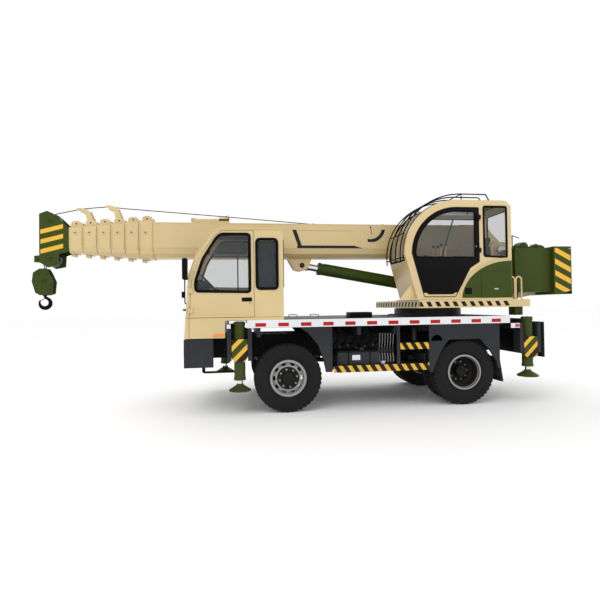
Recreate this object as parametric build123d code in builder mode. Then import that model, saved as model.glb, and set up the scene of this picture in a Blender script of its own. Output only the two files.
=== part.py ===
from build123d import *
import math
import os

os.makedirs("parts", exist_ok=True)

# Mobile crane: two-axle carrier with a half-width cab, slewing upper works and a
# telescopic boom. Millimetres, +Z up, front of the crane at -X, driver's side at -Y.
# The origin is on the ground, below the middle of the overall length.

LEFT = -1
RIGHT = 1
SIDES = ((LEFT, "left"), (RIGHT, "right"))

# Overall sizes
reach_front = 4150  # front axle to the front of the hook block
reach_rear = 5080  # front axle to the back of the counterweight
wheelbase = 2885
half_width = 1150  # carrier, over the deck rails
front_axle_x = (reach_front - reach_rear) / 2
rear_axle_x = front_axle_x + wheelbase

# Clearances
seat = 0.3  # pieces that rest on each other
running = 0.1  # pins and rods in their bores
door_gap = 6

# Door hinges
hinge_y = 1165
hinge_radius = 12
hinge_pin = 6
hinge_height = 70
hinge_ear = 20
hinge_gap = 1
hinge_leaf = 60
hinge_pad = 40  # where the leaf starts to bear on the door
hinge_bite = 1
cab_hinge_x = -1486
cab_hinge_z = (1560, 1860)
op_hinge_x = 3180
op_hinge_z = (2480, 3020)
joint_gap = 10  # between large moving pieces


def fx(distance):
    """Place along the crane, measured back from the front axle."""
    return front_axle_x + distance


# Wheels
tyre_radius = 530
hub_height = tyre_radius
tyre_face_y = 1130
front_tyre_width = 260
rear_tyre_width = 245
twin_gap = 50
shoulder_drop = 36
sidewall_radius = 400
rim_radius = 283
bead_radius = 262
rim_wall = 12
rim_half_width = 100
rim_flange = 12
drum_radius = 190
drum_wall = 17
hub_radius = 85
hub_reach = 138
spindle_radius = 30
hand_hole_count = 10
hand_hole_height = 42
hand_hole_pitch = 30
hand_hole_circle = 218
front_wheel_y = tyre_face_y - front_tyre_width / 2
rear_twin_y = tyre_face_y - rear_tyre_width - twin_gap / 2
twin_offset = (rear_tyre_width + twin_gap) / 2

# Front axle and steering
kingpin_y = 820
kingpin_radius = 20
kingpin_boss_radius = 38
kingpin_boss_half = 55
yoke_ear = 34
yoke_gap = 4
axle_beam_width = 90
axle_beam_height = 80
spring_y = 400
spring_half_width = 35
spring_length = 1050
spring_thickness = 60
rear_spring_y = 500

# Chassis frame
rail_outer_y = 430
rail_flange = 70
rail_wall = 12
rail_bottom = 800
rail_top = 1175
frame_front = -1547
frame_rear = 4250
cross_member = 60
cross_member_height = 110
cross_member_places = (-1480, 1500, 2250, 3450)
tail_board_thickness = 40
tail_board_bottom = 740
tail_board_top = 1325
tow_reach = 130
tow_half = 60
tow_plate = 25
tow_levels = (860, 945)
tow_pin_radius = 20

# Deck
deck_top = 1437
deck_plate = 12
deck_bottom = 1377
deck_rail_bottom = 1315
deck_rail_thickness = 30
deck_rail_front = -626
deck_front = -930
bearer_width = 60
bearer_places = (-480, 560, 1100, 1700, 3420)

# Skirts, steps and flaps
skirt_thickness = 12
skirt_bottom = 610
front_skirt_x = (186, 690)
rear_skirt_x = (2276, 3490)
rear_skirt_bottom = 556
arch_top = 1066
step_x = (710, 2260)
step_z = (595, 700)
step_plate = 12
step_inner_y = 640
pillar_x = (1738, 1788)
upper_step_x = (1792, 2270)
upper_step_z = (930, 1033)
upper_step_depth = 200
grab_hole_radius = 97
flap_thickness = 12
flap_bottom = 357

# Bumper
bumper_front = -1567
bumper_z = (738, 1162)
bumper_sheet = 20
bumper_left_end = -1132
bumper_right_end = -1290
headlamp_y = 900
headlamp_z = 960
headlamp_radius = 85

# Outriggers
leg_left_front = -742
leg_left_rear = 4045
leg_right_shift = -300
leg_clear = {"left": 365, "right": 127}  # deck's end to the rear leg
deck_rear = leg_left_rear - leg_clear["left"]
deck_rear_right = leg_left_rear + leg_right_shift - leg_clear["right"]
beam_half_width = 60
beam_z = (1191, 1361)
housing_wall = 10
housing_gap = 6
housing_end_y = 955
leg_y = 1050
barrel_radius = 85
barrel_top = 1413
jack_rod_radius = 45
barrel_bottom = {"front": 530, "rear": 588}
pad_bottom = {"front": 360, "rear": 420}
pad_radius = 168
pad_rim = 18
pad_neck_radius = 62
pad_height = 85
sign_width = 235
sign_height = 345
sign_bottom = {"front": 806, "rear": 740}
sign_thickness = 10
post_inner = 126
post_outer = 188
post_bottom = 820
post_y = (960, 1145)

# Carrier cab
cab_front = -1560
cab_rear = -60
cab_step_x = -957
cab_inner_y = -320
cab_roof = 2851
cab_wall = 40
cab_door_x = (-1480, -512)
cab_door_z = (1490, 2800)
glass_thickness = 8

# Engine, tank and service bay
engine_x = (-400, 460)
engine_half_width = 280
engine_z = (640, 1160)
engine_slings = (engine_x[0] + 80, engine_x[1] - 80)
tank_x = (740, 1640)
tank_y = 1040
tank_z = (640, 1120)
battery_x = (740, 1460)
battery_z = (700, 915)

# Turntable
slew_x = 2750
ring_outer = 600
ring_inner = 470
ring_top = 1570
table_x = (2124, 3727)
table_tail = 4220
table_tail_half = 900
table_z = (1583, 1710)
table_plate = 20
side_plate_y = (300, 330)
boom_pivot_x = 4050
boom_pivot_z = 2620
pivot_radius = 50
pivot_boss = 120
hoop_places = (3760, 3885)
hoop_y = 1020
hoop_width = 100
hoop_top = 2088
hoop_radius = 13

# Operator cab
op_rear = 3733
op_inner_y = -365
op_wall = 40
op_door_rear = 3163

# Rear body
housing_x = (4065, 4740)
housing_y = 750
housing_z = (1835, 2615)
weight_front = 4740
weight_half = 830
weight_z = (1790, 2630)
weight_recess_half = 345
weight_recess_z = 2250

# Winches
winch_x = 4520
winch_z = 2580
winch_flange = 200
winch_drum = 130
winch_half = 250
second_winch_x = 4905
second_winch_z = 2590
second_winch_flange = 150

# Boom
boom_half_width = 250
boom_z = 2790
boom_half_height = 300
boom_wall = 8
boom_gap = 12
boom_step = boom_wall + boom_gap
section_count = 5
collar_pitch = 229
collar_length = 215
collar_thickness = 14
collar_front = -2387
boom_tail = 3750
section_tail = 3650
tail_step = 30
arch_height = 120
arch_y = (90, 112)
pad_length = 120
pad_half_width = 60
boss_radius = 30
boss_height = 10
boss_z = 2915
collar_middle = 100  # collar's front to its boss

# Boom head and hook
head_plate_y = (150, 170)
head_front = -3990
head_sheave_x = -3840
head_sheave_z = 2490
head_sheave_radius = 130
block_centre_x = -3970
block_top = 2330
block_bottom = 1885
block_plate_y = (62, 78)
hook_outer = 120
hook_inner = 62
hook_z = 1757
hook_thickness = 60

# Luffing cylinder
luff_base_x = 2850
luff_base_z = 1930
luff_eye_x = 377
luff_eye_z = 2372
luff_barrel_radius = 105
luff_rod_radius = 62
luff_pin_radius = 40
luff_eye_radius = 78
luff_eye_half = 60
luff_barrel_front = 300


def block(x, y, z, mode=Mode.ADD):
    """Box between a low and a high limit on each axis."""
    low_x, high_x = sorted(x)
    low_y, high_y = sorted(y)
    low_z, high_z = sorted(z)
    middle = ((low_x + high_x) / 2, (low_y + high_y) / 2, (low_z + high_z) / 2)
    with Locations(middle):
        Box(high_x - low_x, high_y - low_y, high_z - low_z, mode=mode)


def side_prism(points, y, mode=Mode.ADD, corner=0):
    """Outline in X and Z, as thick as the two Y limits are apart."""
    low_y, high_y = sorted(y)
    with BuildSketch(Plane.XZ.offset(-high_y)) as outline:
        with BuildLine():
            Polyline(*points, close=True)
        make_face()
        if corner:
            fillet(outline.vertices(), corner)
    extrude(outline.sketch, amount=high_y - low_y, mode=mode)


def plan_prism(points, z, mode=Mode.ADD):
    """Outline in X and Y, as tall as the two Z limits are apart."""
    low_z, high_z = sorted(z)
    with BuildSketch(Plane.XY.offset(low_z)) as outline:
        with BuildLine():
            Polyline(*points, close=True)
        make_face()
    extrude(outline.sketch, amount=high_z - low_z, mode=mode)


def rod(start, end, radius, mode=Mode.ADD):
    """Round bar between two points."""
    path = Vector(*end) - Vector(*start)
    with BuildSketch(Plane(origin=start, z_dir=path)) as outline:
        Circle(radius)
    extrude(outline.sketch, amount=path.length, mode=mode)


def turned(points, at, side=RIGHT, mode=Mode.ADD):
    """Ring about a cross axle: each point is (outward, radius)."""
    with BuildSketch(Plane(origin=at, x_dir=(0, 1, 0), z_dir=(1, 0, 0))) as outline:
        with BuildLine():
            Polyline(*[(side * outward, radius) for outward, radius in points], close=True)
        make_face()
    revolve(outline.sketch, axis=Axis(at, (0, 1, 0)), mode=mode)


def hinge_barrels(x, levels, toward):
    """Door's half of its hinges: barrels with a leaf onto the door."""
    for z in levels:
        rod((x, -hinge_y, z), (x, -hinge_y, z + hinge_height), hinge_radius)
        block((x, x + toward * hinge_leaf), (-hinge_y - hinge_pin, -half_width - seat), (z, z + hinge_height))
        block((x + toward * hinge_pad, x + toward * hinge_leaf), (-hinge_y, -half_width + hinge_bite),
              (z, z + hinge_height))
        rod((x, -hinge_y, z - 1), (x, -hinge_y, z + hinge_height + 1), hinge_pin + running, mode=Mode.SUBTRACT)


def hinge_pins(x, levels, toward):
    """Cab's half of the hinges: a pin held by an ear above and below."""
    for z in levels:
        rod((x, -hinge_y, z - hinge_ear), (x, -hinge_y, z + hinge_height + hinge_ear), hinge_pin)
        for low in (z - hinge_ear, z + hinge_height + hinge_gap):
            block((x - toward * hinge_ear, x + toward * hinge_pin), (-hinge_y - hinge_pin, -half_width + hinge_bite),
                  (low, low + hinge_ear - hinge_gap))


def save(builder, label):
    """Name the finished piece and write it."""
    builder.part.label = label
    export_step(builder.part, f"parts/{label}.step")


# Tyres
def tyre_profile(width, offset):
    """Cross-section of one tyre, centred on an offset along the axle."""
    half = width / 2
    return [
        (offset - half + shoulder_drop, bead_radius + seat),
        (offset - half, sidewall_radius),
        (offset - half + shoulder_drop / 3, tyre_radius - shoulder_drop),
        (offset - half + shoulder_drop, tyre_radius),
        (offset + half - shoulder_drop, tyre_radius),
        (offset + half - shoulder_drop / 3, tyre_radius - shoulder_drop),
        (offset + half, sidewall_radius),
        (offset + half - shoulder_drop, bead_radius + seat),
    ]


for side, side_name in SIDES:
    front_hub = (front_axle_x, side * front_wheel_y, hub_height)
    with BuildPart() as tyre_front:
        turned(tyre_profile(front_tyre_width, 0), front_hub, side)
    save(tyre_front, f"tyre_front_{side_name}")

    rear_hub = (rear_axle_x, side * rear_twin_y, hub_height)
    with BuildPart() as tyres_rear:
        turned(tyre_profile(rear_tyre_width, twin_offset), rear_hub, side)
        turned(tyre_profile(rear_tyre_width, -twin_offset), rear_hub, side)
    save(tyres_rear, f"tyres_rear_{side_name}")

# Rims, with their hubs and brake drums
barrel_inner = bead_radius - rim_wall
flange_out = rim_half_width + rim_flange
front_disc = 80  # outer face of the front disc, out from the middle of the tyre
disc_thickness = 20
disc_cone = 28
front_drum_edge = -80
spindle_end = 100
drum_inner = drum_radius - drum_wall
hub_core = 75

front_rim_profile = [
    (-flange_out, barrel_inner),
    (-flange_out, rim_radius),
    (-rim_half_width, rim_radius),
    (-rim_half_width, bead_radius),
    (rim_half_width, bead_radius),
    (rim_half_width, rim_radius),
    (flange_out, rim_radius),
    (flange_out, barrel_inner),
    (front_disc - disc_cone, barrel_inner),
    (front_disc, drum_radius),
    (front_disc, hub_radius),
    (hub_reach - disc_thickness / 2, hub_radius),
    (hub_reach, hub_radius - disc_thickness),
    (hub_reach, 0),
    (spindle_end + seat, 0),
    (spindle_end + seat, spindle_radius + running),
    (front_drum_edge, spindle_radius + running),
    (front_drum_edge, hub_core),
    (front_disc - disc_thickness, hub_core),
    (front_disc - disc_thickness, drum_inner),
    (front_drum_edge, drum_inner),
    (front_drum_edge, drum_radius),
    (front_disc - disc_thickness, drum_radius),
    (front_disc - disc_cone - disc_thickness, barrel_inner),
]

rear_rim_out = twin_offset + flange_out
rear_rim_in = twin_offset - flange_out
rear_seat_out = twin_offset + rim_half_width
rear_seat_in = twin_offset - rim_half_width
rear_disc = 12
rear_dish = 50
rear_drum_edge = -200
rear_spindle_radius = 40
rear_spindle_end = 60
rear_hub_reach = 150

rear_rim_profile = [
    (rear_rim_out, barrel_inner),
    (rear_rim_out, rim_radius),
    (rear_seat_out, rim_radius),
    (rear_seat_out, bead_radius),
    (rear_seat_in, bead_radius),
    (rear_seat_in, rim_radius),
    (rear_rim_in, rim_radius),
    (rear_rim_in, bead_radius - rim_wall / 2),
    (-rear_rim_in, bead_radius - rim_wall / 2),
    (-rear_rim_in, rim_radius),
    (-rear_seat_in, rim_radius),
    (-rear_seat_in, bead_radius),
    (-rear_seat_out, bead_radius),
    (-rear_seat_out, rim_radius),
    (-rear_rim_out, rim_radius),
    (-rear_rim_out, barrel_inner),
    (-rear_dish, barrel_inner),
    (-rear_disc, drum_radius + drum_wall),
    (-rear_disc, drum_radius),
    (rear_drum_edge, drum_radius),
    (rear_drum_edge, drum_inner),
    (-rear_disc * 2, drum_inner),
    (-rear_disc * 2, hub_core),
    (rear_drum_edge, hub_core),
    (rear_drum_edge, rear_spindle_radius + running),
    (rear_spindle_end + seat, rear_spindle_radius + running),
    (rear_spindle_end + seat, 0),
    (rear_hub_reach, 0),
    (rear_hub_reach, hub_radius - disc_thickness),
    (rear_hub_reach - disc_thickness, hub_radius),
    (rear_disc, hub_radius),
    (rear_disc, drum_radius + drum_wall),
    (rear_dish, barrel_inner),
]

for side, side_name in SIDES:
    front_hub = (front_axle_x, side * front_wheel_y, hub_height)
    wheel_face = Plane(origin=front_hub, x_dir=(1, 0, 0), z_dir=(0, side, 0))
    with BuildPart() as rim_front:
        turned(front_rim_profile, front_hub, side)
        with BuildSketch(wheel_face.offset(front_disc - disc_cone - disc_thickness)) as hand_holes:
            with PolarLocations(hand_hole_circle, hand_hole_count):
                SlotCenterToCenter(hand_hole_pitch, hand_hole_height, rotation=90)
        extrude(hand_holes.sketch, amount=disc_cone + disc_thickness + seat, mode=Mode.SUBTRACT)
    save(rim_front, f"rim_front_{side_name}")

    rear_hub = (rear_axle_x, side * rear_twin_y, hub_height)
    with BuildPart() as rims_rear:
        turned(rear_rim_profile, rear_hub, side)
    save(rims_rear, f"rims_rear_{side_name}")

# Steering knuckles: a yoke round the axle's boss, the kingpin and the wheel spindle
ear_low = kingpin_boss_half + yoke_gap
ear_high = ear_low + yoke_ear
yoke_plate = 22
steer_arm = 190
for side, side_name in SIDES:
    plate_y = side * (kingpin_y + kingpin_boss_radius + yoke_gap)
    plate_end = plate_y + side * yoke_plate
    spindle_tip = side * (front_wheel_y + spindle_end)
    with BuildPart() as knuckle:
        for level in (-1, 1):
            ear_z = (hub_height + level * ear_low, hub_height + level * ear_high)
            block((front_axle_x - kingpin_boss_radius, front_axle_x + kingpin_boss_radius),
                  (side * (kingpin_y - kingpin_boss_radius), plate_end), ear_z)
        block((front_axle_x - kingpin_boss_radius, front_axle_x + kingpin_boss_radius),
              (plate_y, plate_end), (hub_height - ear_high, hub_height + ear_high))
        rod((front_axle_x, side * kingpin_y, hub_height - ear_high),
            (front_axle_x, side * kingpin_y, hub_height + ear_high), kingpin_radius)
        rod((front_axle_x, plate_y, hub_height),
            (front_axle_x, spindle_tip, hub_height), spindle_radius)
        block((front_axle_x, front_axle_x + steer_arm),
              (side * (kingpin_y - yoke_ear), side * kingpin_y),
              (hub_height - ear_high, hub_height - ear_low))
    save(knuckle, f"knuckle_{side_name}")

# Front axle beam, its springs, the steering box and the drag link
beam_low = hub_height - axle_beam_height / 2
beam_high = hub_height + axle_beam_height / 2
spring_rise = 90
spring_hanger = 50
drag_link_y = -600
drag_link_z = 590
drag_link_x = (-1325, -700)
steering_box_x = (-1400, -1240)


def leaf_spring(axle_x, spring_side_y, clamp_low):
    """Leaf pack bowed up to the rail, with a clamp plate on the axle."""
    clamp_high = clamp_low + spring_thickness
    half = spring_length / 2
    low = (axle_x - half, axle_x - half / 3, axle_x + half / 3, axle_x + half)
    points = [
        (low[0], clamp_low + spring_rise),
        (low[1], clamp_low),
        (low[2], clamp_low),
        (low[3], clamp_low + spring_rise),
        (low[3], clamp_low + spring_rise + spring_thickness / 3),
        (low[2], clamp_high),
        (low[1], clamp_high),
        (low[0], clamp_low + spring_rise + spring_thickness / 3),
    ]
    y = (spring_side_y - spring_half_width, spring_side_y + spring_half_width)
    side_prism(points, y)
    for end in (low[0], low[3]):
        block((end - spring_hanger / 2, end + spring_hanger / 2), y,
              (clamp_low + spring_rise, rail_bottom - seat))


with BuildPart() as front_axle:
    block((front_axle_x - axle_beam_width / 2, front_axle_x + axle_beam_width / 2),
          (-kingpin_y, kingpin_y), (beam_low, beam_high))
    for side in (LEFT, RIGHT):
        rod((front_axle_x, side * kingpin_y, hub_height - kingpin_boss_half),
            (front_axle_x, side * kingpin_y, hub_height + kingpin_boss_half), kingpin_boss_radius)
        block((front_axle_x - axle_beam_width / 2, front_axle_x + axle_beam_width / 2),
              (side * (kingpin_y - 1), side * (kingpin_y + axle_beam_width)),
              (beam_low, beam_high), mode=Mode.SUBTRACT)
        rod((front_axle_x, side * kingpin_y, hub_height - kingpin_boss_half),
            (front_axle_x, side * kingpin_y, hub_height + kingpin_boss_half), kingpin_boss_radius)
        rod((front_axle_x, side * kingpin_y, hub_height - kingpin_boss_half),
            (front_axle_x, side * kingpin_y, hub_height + kingpin_boss_half),
            kingpin_radius + running, mode=Mode.SUBTRACT)
        leaf_spring(front_axle_x, side * spring_y, beam_high + seat)
    rod((fx(drag_link_x[0]), drag_link_y, drag_link_z),
        (fx(drag_link_x[1]), drag_link_y, drag_link_z), 18)
    rod((fx(drag_link_x[0]), drag_link_y, drag_link_z), (fx(drag_link_x[0]), drag_link_y, 870), 26)
    block((fx(steering_box_x[0]), fx(steering_box_x[1])), (drag_link_y - 26, -rail_outer_y - seat),
          (rail_bottom, rail_bottom + 140))
    block((fx(drag_link_x[1]) - 20, fx(drag_link_x[1]) + 20), (drag_link_y - 20, drag_link_y + 20),
          (drag_link_z - 20, 700))
    block((fx(drag_link_x[1]) - 20, fx(drag_link_x[1]) + 20), (drag_link_y - 20, -rail_outer_y + 30),
          (680, 700))
    block((fx(drag_link_x[1]) - 20, fx(drag_link_x[1]) + 20), (-rail_outer_y, -rail_outer_y + 30),
          (680, rail_bottom - seat))
save(front_axle, "front_axle")

# Rear axle with its springs and the propeller shaft
rear_tube_radius = 70
axle_bowl_radius = 190
axle_end_y = rear_twin_y + rear_drum_edge - joint_gap
prop_radius = 38
prop_gap = 10
with BuildPart() as rear_axle:
    rod((rear_axle_x, -axle_end_y, hub_height), (rear_axle_x, axle_end_y, hub_height), rear_tube_radius)
    rod((rear_axle_x, -rear_twin_y - rear_spindle_end, hub_height),
        (rear_axle_x, rear_twin_y + rear_spindle_end, hub_height), rear_spindle_radius)
    with Locations((rear_axle_x, 0, hub_height)):
        Sphere(axle_bowl_radius)
    rod((fx(engine_x[1]) + prop_gap, 0, hub_height + 150), (rear_axle_x, 0, hub_height), prop_radius)
    for side in (LEFT, RIGHT):
        leaf_spring(rear_axle_x, side * spring_y, hub_height + rear_tube_radius + seat)
save(rear_axle, "rear_axle")

# Chassis frame: two channel rails, cross members, tail board
with BuildPart() as main_frame:
    for side in (LEFT, RIGHT):
        rail_y = (side * (rail_outer_y - rail_flange), side * rail_outer_y)
        block((fx(frame_front), fx(frame_rear)), rail_y, (rail_bottom, rail_top))
        web = (side * (rail_outer_y - rail_flange), side * (rail_outer_y - rail_wall))
        block((fx(frame_front), fx(frame_rear)), web,
              (rail_bottom + rail_wall, rail_top - rail_wall), mode=Mode.SUBTRACT)
    # Cross members between the webs
    for place in cross_member_places:
        block((fx(place) - cross_member / 2, fx(place) + cross_member / 2),
              (-rail_outer_y + rail_wall + seat, rail_outer_y - rail_wall - seat),
              (rail_bottom + rail_wall + seat, rail_bottom + rail_wall + cross_member_height))
    # Slings that carry the engine between the flanges
    sling_y = rail_outer_y - rail_flange - seat
    sling_top = engine_z[0] - seat
    for place in engine_slings:
        span_x = (fx(place) - cross_member / 2, fx(place) + cross_member / 2)
        block(span_x, (-sling_y, sling_y), (sling_top - cross_member, sling_top))
        for side in (LEFT, RIGHT):
            block(span_x, (side * (sling_y - rail_wall), side * sling_y),
                  (sling_top - cross_member, rail_bottom + cross_member))
    tail_back = fx(frame_rear) + tail_board_thickness
    block((fx(frame_rear) + seat, tail_back), (-half_width, half_width), (tail_board_bottom, tail_board_top))
    for level in tow_levels:
        block((tail_back - 1, tail_back + tow_reach), (-tow_half, tow_half), (level, level + tow_plate))
    rod((tail_back + tow_reach - tow_half, 0, tow_levels[0] - 1),
        (tail_back + tow_reach - tow_half, 0, tow_levels[1] + tow_plate + 1), tow_pin_radius, mode=Mode.SUBTRACT)
save(main_frame, "main_frame")

# Engine as one plain block
with BuildPart() as engine:
    block((fx(engine_x[0]), fx(engine_x[1])), (-engine_half_width, engine_half_width), engine_z)
save(engine, "engine")

# Deck: plate, cross bearers and the side rails that carry the red and white strip
with BuildPart() as deck:
    inset = half_width - deck_rail_thickness
    edge = inset - seat
    front_edge = housing_end_y - joint_gap
    rear_edge = housing_end_y - 2 * joint_gap
    plan_prism([(fx(deck_front), -front_edge), (fx(deck_rail_front), -front_edge),
                (fx(deck_rail_front), -edge), (fx(deck_rear), -edge), (fx(deck_rear), rear_edge),
                (fx(deck_rear_right), rear_edge), (fx(deck_rear_right), edge), (fx(deck_front), edge)],
               (deck_top - deck_plate, deck_top))
    for place in bearer_places:
        block((fx(place), fx(place) + bearer_width), (-edge, edge),
              (rail_top + seat, deck_top - deck_plate - seat))
    for side, rear in ((LEFT, deck_rear), (RIGHT, deck_rear_right)):
        block((fx(deck_rail_front), fx(rear)), (side * inset, side * half_width),
              (deck_rail_bottom, deck_top))
    with Locations((fx(slew_x), 0, deck_top)):
        Cylinder(ring_outer + joint_gap, 4 * deck_plate, mode=Mode.SUBTRACT)
save(deck, "deck")

# Skirts, wheel arches, flaps and the back wall of the service bay
front_skirt_outline = [
    (fx(front_skirt_x[0]), deck_rail_bottom),
    (fx(310), 1225),
    (fx(464), 1036),
    (fx(550), 800),
    (fx(588), skirt_bottom),
    (fx(front_skirt_x[1]), skirt_bottom),
    (fx(front_skirt_x[1]), deck_rail_bottom),
]
rear_skirt_outline = [
    (fx(rear_skirt_x[0]), deck_rail_bottom),
    (fx(rear_skirt_x[0]), rear_skirt_bottom),
    (fx(2325), rear_skirt_bottom),
    (fx(2345), 600),
    (fx(2467), 870),
    (fx(2560), 1010),
    (fx(2620), arch_top),
    (fx(3146), arch_top),
    (fx(3300), 890),
    (fx(3435), 680),
    (fx(3452), 581),
    (fx(rear_skirt_x[1]), 581),
    (fx(rear_skirt_x[1]), deck_rail_bottom),
]
with BuildPart() as side_skirts:
    for side in (LEFT, RIGHT):
        skirt_y = (side * (half_width - skirt_thickness), side * half_width)
        side_prism(front_skirt_outline, skirt_y)
        side_prism(rear_skirt_outline, skirt_y)
        with BuildSketch(Plane.XZ) as grab_hole:
            with Locations((fx(2405), 1052)):
                Circle(grab_hole_radius)
            with Locations((fx(2405), 1052 - grab_hole_radius)):
                Rectangle(3 * grab_hole_radius, 2 * grab_hole_radius, mode=Mode.SUBTRACT)
        extrude(grab_hole.sketch, amount=2 * half_width, both=True, mode=Mode.SUBTRACT)
        block((fx(pillar_x[0]), fx(pillar_x[1])), skirt_y, (step_z[1] + seat, deck_rail_bottom))
        side_prism([(fx(3478), 760), (fx(3490), 760), (fx(3551), flap_bottom), (fx(3539), flap_bottom)],
                   (side * (half_width - skirt_thickness), side * (rear_twin_y - twin_offset - 120)))
save(side_skirts, "side_skirts")

# Steps: lower running board and the upper tread, on both sides
with BuildPart() as steps:
    for side in (LEFT, RIGHT):
        block((fx(step_x[0]), fx(step_x[1])), (side * step_inner_y, side * half_width),
              (step_z[1] - step_plate, step_z[1]))
        block((fx(step_x[0]), fx(step_x[1])), (side * (half_width - skirt_thickness), side * half_width), step_z)
        block((fx(upper_step_x[0]), fx(upper_step_x[1])),
              (side * (half_width - upper_step_depth), side * half_width),
              (upper_step_z[1] - step_plate, upper_step_z[1]))
        block((fx(upper_step_x[0]), fx(upper_step_x[1])),
              (side * (half_width - skirt_thickness), side * half_width), upper_step_z)
        for place in (fx(step_x[0]) + cross_member, fx(step_x[1]) - cross_member):
            block((place, place + skirt_thickness), (side * (rail_outer_y + seat), side * (half_width - skirt_thickness)),
                  (step_z[0], rail_bottom + 60))
        block((fx(upper_step_x[1]) - skirt_thickness, fx(upper_step_x[1])),
              (side * (half_width - upper_step_depth), side * half_width), (step_z[0], upper_step_z[1]))
save(steps, "steps")

# Fuel tank on the right
with BuildPart() as fuel_tank:
    block((fx(tank_x[0]) + 60, fx(tank_x[1])), (rail_outer_y + seat, tank_y), (step_z[1] + seat, tank_z[1]))
    fillet(fuel_tank.edges().filter_by(Axis.X), 40)
save(fuel_tank, "fuel_tank")

# Battery box and hydraulic valve levers in the left bay
with BuildPart() as service_bay:
    block((fx(battery_x[0]) + 50, fx(battery_x[1])), (-1080, -680), (battery_z[0] + seat, battery_z[1]))
    block((fx(1500), fx(1740)), (-960, -760), (step_z[1] + seat, 900))
    for lever in range(5):
        lever_x = fx(1530) + lever * 45
        rod((lever_x, -900, 890), (lever_x, -940, 1120), 7)
save(service_bay, "service_bay")

# Bumper with headlamp openings
with BuildPart() as bumper:
    block((fx(bumper_front), fx(bumper_front) + bumper_sheet), (-half_width, half_width), bumper_z)
    for side, end in ((LEFT, bumper_left_end), (RIGHT, bumper_right_end)):
        block((fx(bumper_front), fx(end)), (side * (half_width - bumper_sheet), side * half_width), bumper_z)
        rod((fx(bumper_front) - 1, side * headlamp_y, headlamp_z),
            (fx(bumper_front) + 2 * bumper_sheet, side * headlamp_y, headlamp_z),
            headlamp_radius + seat, mode=Mode.SUBTRACT)
save(bumper, "bumper")

with BuildPart() as lamps:
    for side in (LEFT, RIGHT):
        rod((fx(bumper_front) - 6, side * headlamp_y, headlamp_z),
            (fx(bumper_front) + 3 * bumper_sheet, side * headlamp_y, headlamp_z), headlamp_radius)
        block((fx(frame_rear) + tail_board_thickness + seat, fx(frame_rear) + tail_board_thickness + 25),
              (side * 700, side * 1080), (1120, 1230))
    block((fx(-1130), fx(-970)), (-half_width - 8, -half_width - seat), (1200, 1238))
save(lamps, "lamps")

# Slew ring on its pedestal
with BuildPart() as slew_ring:
    with BuildSketch(Plane.XY.offset(rail_top + seat)) as ring:
        with Locations((fx(slew_x), 0)):
            Circle(ring_outer)
            Circle(ring_inner, mode=Mode.SUBTRACT)
    extrude(ring.sketch, amount=ring_top - rail_top - seat)
save(slew_ring, "slew_ring")

# Outrigger boxes across the frame, with guard posts beside each leg
LEGS = (
    ("front_left", "front", LEFT, leg_left_front),
    ("front_right", "front", RIGHT, leg_left_front + leg_right_shift),
    ("rear_left", "rear", LEFT, leg_left_rear),
    ("rear_right", "rear", RIGHT, leg_left_rear + leg_right_shift),
)
housing_inner = 300  # how far a box reaches past the middle
beam_inner = 285
housing_in_x = beam_half_width + housing_gap
housing_out_x = housing_in_x + housing_wall
housing_in_z = (beam_z[0] - housing_gap, beam_z[1] + housing_gap)
housing_out_z = (rail_top + seat, housing_in_z[1] + housing_wall)
with BuildPart() as outrigger_boxes:
    for leg_name, end, side, leg_x in LEGS:
        x = fx(leg_x)
        span = (-side * housing_inner, side * housing_end_y)
        block((x - housing_out_x, x + housing_out_x), span, housing_out_z)
        for hand in (-1, 1):
            block((x + hand * post_inner, x + hand * post_outer), (side * post_y[0], side * post_y[1]),
                  (post_bottom, deck_rail_bottom - seat))
            block((x + hand * housing_out_x, x + hand * post_outer),
                  (side * (post_y[0] - 100), side * post_y[0]), (housing_in_z[0], deck_rail_bottom - seat))
    for leg_name, end, side, leg_x in LEGS:
        x = fx(leg_x)
        block((x - housing_in_x, x + housing_in_x), (-side * (housing_inner + 1), side * (housing_end_y + 1)),
              housing_in_z, mode=Mode.SUBTRACT)
    for leg_name, end, side, leg_x in LEGS:
        x = fx(leg_x)
        for y in (-side * housing_inner, side * (housing_end_y - pad_length)):
            block((x - housing_in_x, x + housing_in_x), (y, y + side * pad_length),
                  (housing_in_z[0], beam_z[0] - seat))
save(outrigger_boxes, "outrigger_boxes")

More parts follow.
